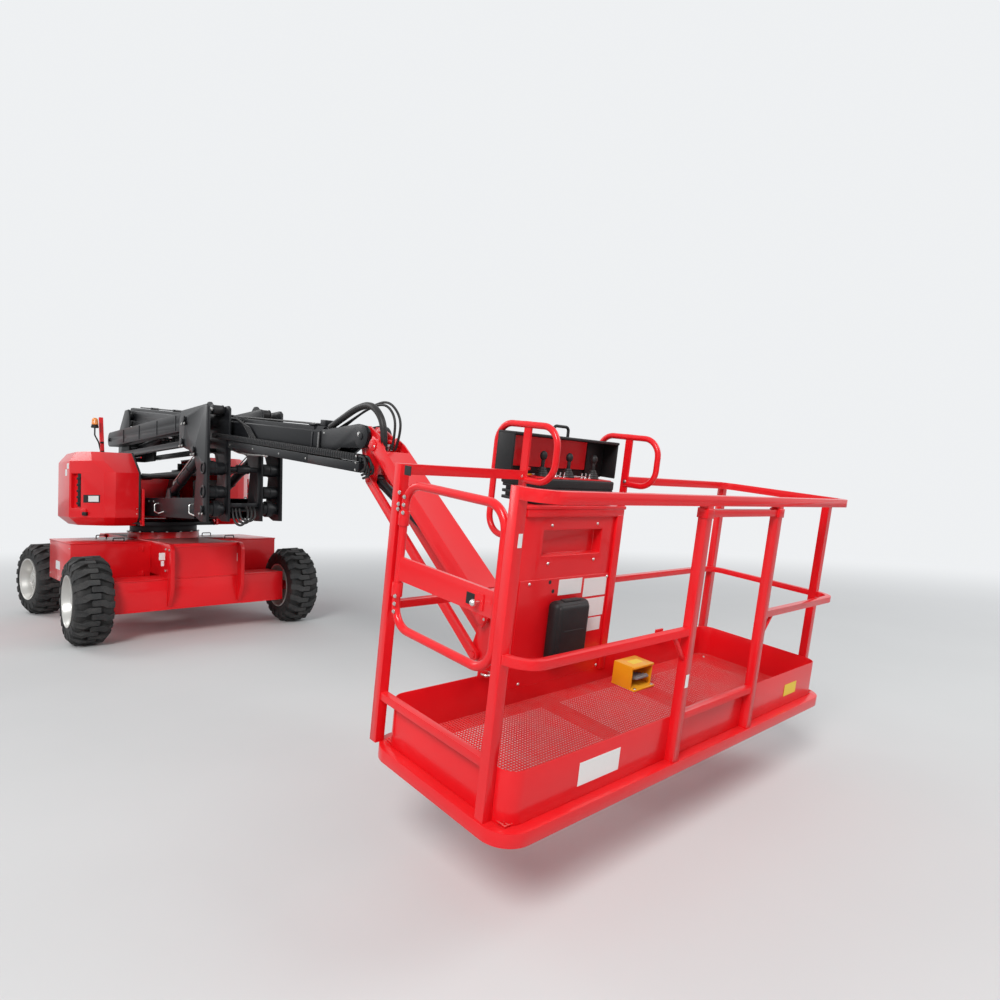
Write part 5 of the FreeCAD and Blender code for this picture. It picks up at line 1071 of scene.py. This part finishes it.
class BOOMLIFT_OT_controls(bpy.types.Operator):
    """Make the control panel, the console with joysticks and an open cover, and the foot switch"""
    bl_idname = "boomlift.controls"
    bl_label = "Controls"

    def execute(self, context):
        bm = merged("control_box")
        bmesh.ops.transform(bm, matrix=PLATFORM.inverted(), verts=bm.verts)
        bm.normal_update()
        pocket(bm, (1, 0, 0), [(-0.621, y, z) for y, z in ((0.810, 0.705), (1.240, 0.705),
                                                           (1.240, 0.828), (0.810, 0.828))], 0.055)
        round_off(bm, 0.004, 28, 3)
        add_box(bm, (-0.700, 0.668, 0.930), (-0.604, 1.396, 0.947))
        add_box(bm, (-0.622, 0.676, 0.893), (-0.607, 1.386, 0.934))
        add_box(bm, (-0.622, 1.336, 0.076), (-0.606, 1.386, 0.900))
        add_box(bm, (-0.620, 0.682, 0.080), (-0.6155, 1.334, 0.596), 0.0012, 1)
        for y, z in ((0.859, 0.852), (1.195, 0.856), (0.859, 0.669), (1.196, 0.673), (0.744, 0.578),
                     (1.318, 0.578), (0.744, 0.100), (1.318, 0.100)):
            add_dome(bm, (-0.621 if z > 0.6 else -0.6155, y, z), (1, 0, 0), 0.008, 1)
        for y, z in ((0.884, 0.578), (0.912, 0.532)):
            add_rod(bm, (-0.6160, y, z), (-0.6150, y, z), 0.010, 20, 0, 3)
        for y, z, wide, high in ((1.228, 0.530, 0.180, 0.095), (1.237, 0.423, 0.162, 0.096),
                                 (1.232, 0.332, 0.150, 0.070), (1.035, 0.546, 0.172, 0.078)):
            add_plate(bm, (-0.6155, y, z), (1, 0, 0), (0, 1, 0), wide, high, 2)
        piece = finish("control_panel", bm, body_of("control_box"),
                       ["RedPaint", "ZincBolt", "BlankLabel", "HoseRubber"], PLATFORM)
        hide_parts("control_box")

        bm = bmesh.new()
        add_box(bm, (-0.616, 0.880, 0.185), (-0.540, 1.124, 0.492), 0.030, 5)
        add_box(bm, (-0.606, 0.892, 0.197), (-0.531, 1.112, 0.480), 0.022, 4)
        add_box(bm, (-0.560, 0.930, 0.352), (-0.5295, 1.075, 0.356), 0.001, 1)
        add_box(bm, (-0.590, 0.940, 0.485), (-0.556, 1.064, 0.498), 0.005, 3)
        finish("document_box", bm, body_of("control_box"), ["BlackPlastic"], PLATFORM)

        bm = bmesh.new()
        for number in range(5):
            wide = 0.012 * (number % 2)
            z = 0.948 + 0.015 * number
            add_box(bm, (-0.868 + wide, 0.742 + wide, z), (-0.640 - wide, 1.308 - wide, z + 0.015))
        add_box(bm, (-0.876, 0.735, 1.022), (-0.640, 1.315, 1.068), 0.008, 3)
        add_box(bm, (-0.868, 0.748, 1.064), (-0.652, 1.302, 1.073), 0.003, 2, 1)
        for y in (0.846, 1.031, 1.221):
            at, up = Vector((-0.715, y, 1.073)), Vector((0, 0, 1))
            for radius, z in ((0.036, 0.0), (0.031, 0.011), (0.026, 0.022), (0.020, 0.033)):
                add_rod(bm, at + up * z, at + up * (z + 0.012), radius, 28, 0.004, 2, radius - 0.005)
            add_rod(bm, at + up * 0.040, at + up * 0.085, 0.009, 16, 0.001)
            add_ball(bm, at + up * 0.098, 0.020, 0, (0.9, 0.9, 1.15), 20)
        for y in (0.905, 0.935, 0.965, 1.095, 1.125, 1.155):
            add_rod(bm, (-0.680, y, 1.073), (-0.680, y, 1.080), 0.008, 18, 0.001, 3)
            add_rod(bm, (-0.680, y, 1.080), (-0.677, y, 1.100), 0.0035, 12, 0.001, 3)
        for z0, z1, radius, sides, width, material in (
                (1.073, 1.079, 0.030, 36, 0.001, 4), (1.079, 1.094, 0.012, 24, 0.001, 0),
                (1.094, 1.110, 0.021, 32, 0.005, 1)):
            add_rod(bm, (-0.765, 0.790, z0), (-0.765, 0.790, z1), radius, sides, width, material)
        add_box(bm, (-0.816, 0.632, 1.075), (-0.804, 1.400, 1.268), 0.004)
        add_box(bm, (-0.816, 0.632, 1.256), (-0.700, 1.400, 1.270), 0.005, 3)
        add_box(bm, (-0.800, 0.646, 1.110), (-0.797, 1.250, 1.254), 0.001, 1, 1)
        for y in (0.632, 1.388):
            add_box(bm, (-0.812, y, 1.080), (-0.706, y + 0.012, 1.262), 0.004)
        add_box(bm, (-0.806, 1.252, 1.092), (-0.792, 1.388, 1.258), 0.004)
        for y in (0.76, 1.00, 1.18):
            add_box(bm, (-0.8185, y, 1.110), (-0.8150, y + 0.05, 1.240), 0.001, 1)
        sweep(bm, ((-0.760, 0.942, 1.268), (-0.760, 0.942, 1.318), (-0.760, 1.049, 1.318),
                   (-0.760, 1.049, 1.268)), 0.0075, 0.020, 14)
        for y in (0.700, 1.330):
            add_rod(bm, (-0.810, y - 0.035, 1.078), (-0.810, y + 0.035, 1.078), 0.009, 20, 0.001, 3)
        for x in (-0.74, -0.78):
            add_plate(bm, (x, 1.031, 1.0735), (0, 0, 1), (0, 1, 0), 0.12, 0.02, 5)
        piece = finish("console_top", bm, body_of("console"),
                       ["BlackPlastic", "RedPaint", "HoseRubber", "BrightSteel", "YellowPaint",
                        "BlankLabel"], PLATFORM)
        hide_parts("console")

        bm = bmesh.new()
        add_box(bm, (-0.570, 1.455, 0.012), (-0.400, 1.665, 0.022), 0.004)
        for y in (1.455, 1.653):
            add_box(bm, (-0.566, y, 0.016), (-0.430, y + 0.012, 0.138), 0.005)
        add_box(bm, (-0.566, 1.457, 0.128), (-0.420, 1.663, 0.142), 0.005)
        add_box(bm, (-0.568, 1.457, 0.016), (-0.556, 1.663, 0.140), 0.004)
        add_box(bm, (-0.540, 1.500, 0.040), (-0.415, 1.620, 0.056), 0.006, 3, 1,
                Matrix.Translation((-0.54, 0, 0.03)) @ Matrix.Rotation(math.radians(-12), 4, "Y")
                @ Matrix.Translation((0.54, 0, -0.03)))
        for number in range(5):
            x = -0.525 + 0.022 * number
            lift = 0.0047 * number
            add_box(bm, (x, 1.506, 0.060 + lift), (x + 0.007, 1.614, 0.066 + lift), 0.001, 1, 1)
        add_plate(bm, (-0.490, 1.560, 0.142), (0, 0, 1), (0, 1, 0), 0.10, 0.05, 2)
        for y in (1.475, 1.645):
            add_bolt(bm, (-0.412, y, 0.022), (0, 0, 1), 0.007, 0.007, 3)
        finish("foot_switch", bm, "platform", ["YellowPaint", "PedalGrey", "YellowLabel", "ZincBolt"],
               PLATFORM @ Matrix.Translation((-0.055, 0.110, 0))
               @ Matrix.Diagonal((0.88, 0.88, 0.95, 1)))
        return {"FINISHED"}


class BOOMLIFT_OT_platform_fittings(bpy.types.Operator):
    """Bolt the guards, hinges and gate latch to the rails and put on the blank plates"""
    bl_idname = "boomlift.platform_fittings"
    bl_label = "Platform fittings"

    def execute(self, context):
        bm = bmesh.new()
        for z in (0.993, 0.949, 0.930):
            add_bolt(bm, (-0.612, -0.0215, z), (0, -1, 0), 0.006)
        for y, z in ((0.025, 0.983), (0.019, 0.962), (0.025, 0.937)):
            add_bolt(bm, (-0.6205, y, z), (1, 0, 0), 0.006)
        add_box(bm, (-0.594, -0.0225, 1.062), (-0.554, -0.0190, 1.098), 0.001, 1, 1)
        for at, wide, high, material in (
                ((0.0205, 0.006, 0.930), 0.018, 0.045, 2), ((0.1275, 0.941, 0.345), 0.022, 0.055, 2),
                ((0.0875, 0.480, 0.092), 0.235, 0.088, 2), ((0.0875, 2.080, 0.085), 0.140, 0.062, 3)):
            add_plate(bm, at, (1, 0, 0), (0, 1, 0), wide, high, material)
        for y, way in ((0.941, -1), (1.567, 1)):
            add_rod(bm, (0.107, y + way * 0.105, 0.535), (0.107, y + way * 0.012, 0.428),
                    0.009, 16, 0.001, 4)
        for y in (0.645, 1.405):
            for z in (1.075, 1.010, 0.880):
                add_bolt(bm, (-0.632, y - 0.017, z), (0, -1, 0), 0.007, 0.007)
        for x in (-0.55, 0.03, -0.26):
            for y in (0.10, 2.32):
                add_dome(bm, (x, y, 0.011), (0, 0, 1))
        for y in (0.50, 1.85):
            add_box(bm, (-0.602, y - 0.035, 0.185), (-0.590, y + 0.035, 0.235), 0.003, 2, 4)
            sweep(bm, [(x, y + dy, 0.205) for x, dy in ((-0.592, -0.022), (-0.560, -0.022),
                                                        (-0.560, 0.022), (-0.592, 0.022))], 0.006, 0.014)
        finish("rail_fittings", bm, body_of("guard_rails"),
               ["ZincBolt", "BlackPlastic", "BlankLabel", "YellowLabel", "RedPaint"], PLATFORM)

        bm = bmesh.new()
        add_box(bm, (-0.190, -0.0110, 0.672), (-0.100, -0.0075, 0.728), 0.001, 1, 2)
        add_box(bm, (-0.184, -0.0125, 0.680), (-0.142, -0.0085, 0.720), 0.001, 1, 1)
        add_rod(bm, (-0.118, -0.0080, 0.700), (-0.118, -0.0320, 0.700), 0.006, 18, 0.001)
        add_ball(bm, (-0.118, -0.038, 0.700), 0.012, 0, (1, 1, 1), 18)
        for z in (0.98, 0.95, 0.92, 0.60, 0.57, 0.54):
            add_bolt(bm, (-0.585, -0.0165, z), (0, -1, 0), 0.006)
        finish("gate_latch", bm, body_of("gate"), ["ZincBolt", "BlackPlastic", "RedPaint"], PLATFORM)
        return {"FINISHED"}


class BOOMLIFT_OT_chassis_fittings(bpy.types.Operator):
    """Put lids, loop handles, bolts and blank plates on the chassis"""
    bl_idname = "boomlift.chassis_fittings"
    bl_label = "Chassis fittings"

    def execute(self, context):
        bm = bmesh.new()
        hinge = 0.708
        for side in (-1, 1):
            y0, y1 = sorted((side * 0.402, side * 1.126))
            add_box(bm, (-0.456, y0, 0.963), (0.711, y1, 0.978), 0.004)
            for x in (-0.30, 0.50):
                near, far = side * (0.62 - 0.055), side * (0.62 + 0.055)
                sweep(bm, ((x, near, 0.976), (x, near, 1.012), (x, far, 1.012), (x, far, 0.976)),
                      0.006, 0.012, 10, 4)
            y0, y1 = sorted((side * 0.405, side * 0.47))
            for z in (0.90, 0.62):
                add_rod(bm, (hinge, side * 0.425, z - 0.03), (hinge, side * 0.425, z + 0.03),
                        0.009, 16, 0.001)
                add_box(bm, (hinge - 0.002, y0, z - 0.025), (hinge + 0.004, y1, z + 0.025), 0.001, 1)
            y0, y1 = sorted((side * 0.386, side * 0.840))
            for z0, z1 in ((0.612, 0.625), (0.297, 0.309)):
                add_box(bm, (1.460, y0, z0), (1.472, y1, z1), 0.002)
            for x, z in ((1.40, 0.925), (1.52, 0.925), (1.40, 0.70)):
                add_bolt(bm, (x, side * 0.386, z), (0, side, 0), 0.011, 0.010, 2)
            for x in (-0.40, 0.65):
                for z in (0.58, 0.92):
                    add_dome(bm, (x, side * 1.1205, z), (0, side, 0), 0.007, 2)
            add_plate(bm, (0.046, side * 1.1205, 0.702), (0, side, 0), (-1, 0, 0), 0.236, 0.095, 3)
        for y, z, wide, high in ((-0.4415, 0.859, 0.059, 0.076), (-0.436, 0.786, 0.030, 0.054),
                                 (0.3515, 0.8165, 0.023, 0.091)):
            add_plate(bm, (1.4645, y, z), (1, 0, 0), (0, 1, 0), wide, high, 3)
        for z0, z1 in ((0.612, 0.622), (0.945, 0.985)):
            add_box(bm, (1.460, -0.344, z0), (1.470, 0.344, z1), 0.002)
        for x0, x1 in ((0.40, 1.455), (-1.41, -0.40)):
            add_box(bm, (x0, -0.335, 0.984), (x1, 0.335, 0.9885), 0.0015, 1, 1)
        for number in range(16):
            angle = 2 * math.pi * (number + 0.5) / 16
            at = (0.395 * math.cos(angle), 0.395 * math.sin(angle), 1.0605)
            add_bolt(bm, at, (0, 0, 1), 0.011, 0.012, 2)
        finish("chassis_fittings", bm, body_of("chassis_frame"),
               ["RedPaint", "DeckGrip", "ZincBolt", "BlankLabel", "BlackPlastic"], MACHINE)
        return {"FINISHED"}


class BOOMLIFT_OT_floor_mesh(bpy.types.Operator):
    """Lay the platform's square wire mesh floor"""
    bl_idname = "boomlift.floor_mesh"
    bl_label = "Floor mesh"

    def execute(self, context):
        sizes = context.scene.boom_lift_platform
        pitch, half = sizes.mesh_pitch, sizes.mesh_wire / 2
        bm = bmesh.new()
        x0, x1, y0, y1 = -0.615, 0.081, 0.026, 2.396
        for number in range(int((x1 - x0) / pitch) + 1):
            x = x0 + pitch * number
            add_box(bm, (x - half, y0, 0.0045), (x + half, y1, 0.0075), 0)
        for number in range(int((y1 - y0) / pitch) + 1):
            y = y0 + pitch * number
            add_box(bm, (x0, y - half, 0.007), (x1, y + half, 0.010), 0)
        piece = finish("floor_mesh", bm, "platform", ["MeshPaint"], PLATFORM)
        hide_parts("platform_floor")
        return {"FINISHED"}


class BOOMLIFT_OT_stage(bpy.types.Operator):
    """Set the floor, the soft lights, the plain backdrop and the camera"""
    bl_idname = "boomlift.stage"
    bl_label = "Stage"

    def execute(self, context):
        scene = context.scene
        bm = bmesh.new()
        bmesh.ops.create_grid(bm, x_segments=1, y_segments=1, size=60)
        mesh = bpy.data.meshes.new("ground")
        bm.to_mesh(mesh)
        bm.free()
        ground = bpy.data.objects.new("ground", mesh)
        scene.collection.objects.link(ground)
        material, tree, shader, place = new_material("PaleFloor")
        cloud = add(tree, "ShaderNodeTexNoise", {"Vector": place, "Scale": 0.5, "Detail": 5.0})
        tint = add(tree, "ShaderNodeMix", {"Factor": cloud.outputs["Fac"], "A": (0.62, 0.62, 0.61, 1),
                                           "B": (0.70, 0.70, 0.69, 1)}, data_type="RGBA")
        tree.links.new(tint.outputs["Result"], shader.inputs["Base Color"])
        shader.inputs["Roughness"].default_value = 0.8
        away = add(tree, "ShaderNodeVectorMath", {0: place}, operation="LENGTH")
        fade = add(tree, "ShaderNodeMapRange", {"Value": away.outputs["Value"], "From Min": 3.2,
                                                "From Max": 17.0, "To Min": 0.0, "To Max": 1.0},
                   interpolation_type="SMOOTHSTEP")
        seen = tree.nodes.new("ShaderNodeLightPath").outputs["Is Camera Ray"]
        fade = add(tree, "ShaderNodeMath", {0: fade.outputs["Result"], 1: seen}, operation="MULTIPLY")
        sky = add(tree, "ShaderNodeEmission", {"Color": BACKDROP, "Strength": 1.0})
        mix = add(tree, "ShaderNodeMixShader", {0: fade.outputs[0], 1: shader.outputs["BSDF"],
                                               2: sky.outputs[0]})
        tree.links.new(mix.outputs[0], tree.nodes["Material Output"].inputs["Surface"])
        mesh.materials.append(material)

        world = bpy.data.worlds.new("Studio")
        scene.world = world
        world.use_nodes = True
        tree = world.node_tree
        tree.nodes.clear()
        path = tree.nodes.new("ShaderNodeLightPath")
        seen = add(tree, "ShaderNodeMath", {0: path.outputs["Is Camera Ray"],
                                            1: path.outputs["Is Glossy Ray"]}, operation="MAXIMUM")
        seen = add(tree, "ShaderNodeMath", {0: seen.outputs[0], 1: path.outputs["Is Transmission Ray"]},
                   operation="MAXIMUM")
        fill = add(tree, "ShaderNodeBackground", {"Color": (0.86, 0.90, 0.96, 1), "Strength": 0.42})
        back = add(tree, "ShaderNodeBackground", {"Color": BACKDROP, "Strength": 1.0})
        mix = add(tree, "ShaderNodeMixShader", {0: seen.outputs[0], 1: fill.outputs[0],
                                               2: back.outputs[0]})
        out = tree.nodes.new("ShaderNodeOutputWorld")
        tree.links.new(mix.outputs[0], out.inputs["Surface"])

        for name, at, aim_at, size, power in (
                ("key_lamp", (9.0, -9.0, 9.0), (0.0, 0.0, 0.8), 5.0, 1350.0),
                ("side_lamp", (8.0, 6.0, 7.0), (2.0, 0.0, 0.8), 6.0, 280.0),
                ("rear_lamp", (-9.0, -5.0, 8.0), (0.0, 0.0, 0.8), 6.0, 320.0)):
            lamp = bpy.data.lights.new(name, "AREA")
            lamp.shape = "DISK"
            lamp.size = size
            lamp.energy = power
            holder = bpy.data.objects.new(name, lamp)
            holder.location = at
            holder.rotation_euler = (Vector(aim_at) - Vector(at)).to_track_quat("-Z", "Y").to_euler()
            scene.collection.objects.link(holder)

        camera = bpy.data.cameras.new("photo_view")
        camera.sensor_width = SENSOR
        camera.lens = SENSOR * LENS_SHARE
        camera.clip_start = 0.05
        camera.clip_end = 200.0
        eye = bpy.data.objects.new("photo_view", camera)
        scene.collection.objects.link(eye)
        yaw, pitch, roll = (math.radians(angle) for angle in (EYE_YAW, EYE_PITCH, EYE_ROLL))
        ahead = Vector((-math.cos(yaw) * math.cos(pitch), math.sin(yaw) * math.cos(pitch),
                        math.sin(pitch)))
        right = Vector((math.sin(yaw), math.cos(yaw), 0.0))
        above = right.cross(ahead)
        turn = Matrix((right, above, -ahead)).transposed() @ Matrix.Rotation(roll, 3, "Z")
        eye.matrix_world = Matrix.Translation(MACHINE @ Vector(EYE)) @ turn.to_4x4()
        scene.camera = eye
        scene.view_settings.view_transform = "Standard"
        return {"FINISHED"}


OPERATORS = (BOOMLIFT_OT_stage, BOOMLIFT_OT_hoses, BOOMLIFT_OT_tyres, BOOMLIFT_OT_rims,
             BOOMLIFT_OT_painted_parts, BOOMLIFT_OT_hoods, BOOMLIFT_OT_counterweight,
             BOOMLIFT_OT_turntable, BOOMLIFT_OT_linkage, BOOMLIFT_OT_booms, BOOMLIFT_OT_controls,
             BOOMLIFT_OT_platform_fittings, BOOMLIFT_OT_chassis_fittings, BOOMLIFT_OT_floor_mesh)


class BOOMLIFT_PT_panel(bpy.types.Panel):
    """The boom lift's sizes, colours and pieces"""
    bl_label = "Boom Lift"
    bl_idname = "BOOMLIFT_PT_panel"
    bl_space_type = "VIEW_3D"
    bl_region_type = "UI"
    bl_category = "Boom Lift"

    def draw(self, context):
        for group in ("boom_lift_paint", "boom_lift_wheels", "boom_lift_platform"):
            values = getattr(context.scene, group)
            for key in values.__annotations__:
                self.layout.prop(values, key)
        for operator in OPERATORS:
            self.layout.operator(operator.bl_idname)


CLASSES = (BoomLiftPaint, BoomLiftWheels, BoomLiftPlatform, *OPERATORS, BOOMLIFT_PT_panel)


def register():
    for item in CLASSES:
        bpy.utils.register_class(item)
    bpy.types.Scene.boom_lift_paint = bpy.props.PointerProperty(type=BoomLiftPaint)
    bpy.types.Scene.boom_lift_wheels = bpy.props.PointerProperty(type=BoomLiftWheels)
    bpy.types.Scene.boom_lift_platform = bpy.props.PointerProperty(type=BoomLiftPlatform)


def unregister():
    del bpy.types.Scene.boom_lift_platform
    del bpy.types.Scene.boom_lift_wheels
    del bpy.types.Scene.boom_lift_paint
    for item in reversed(CLASSES):
        bpy.utils.unregister_class(item)


def main():
    register()
    make_materials()
    bpy.ops.boomlift.stage()
    bpy.ops.boomlift.hoses()
    bpy.ops.boomlift.tyres()
    bpy.ops.boomlift.rims()
    bpy.ops.boomlift.painted_parts()
    bpy.ops.boomlift.hoods()
    bpy.ops.boomlift.counterweight()
    bpy.ops.boomlift.turntable()
    bpy.ops.boomlift.linkage()
    bpy.ops.boomlift.booms()
    bpy.ops.boomlift.controls()
    bpy.ops.boomlift.platform_fittings()
    bpy.ops.boomlift.chassis_fittings()
    bpy.ops.boomlift.floor_mesh()


if __name__ == "__main__":
    main()
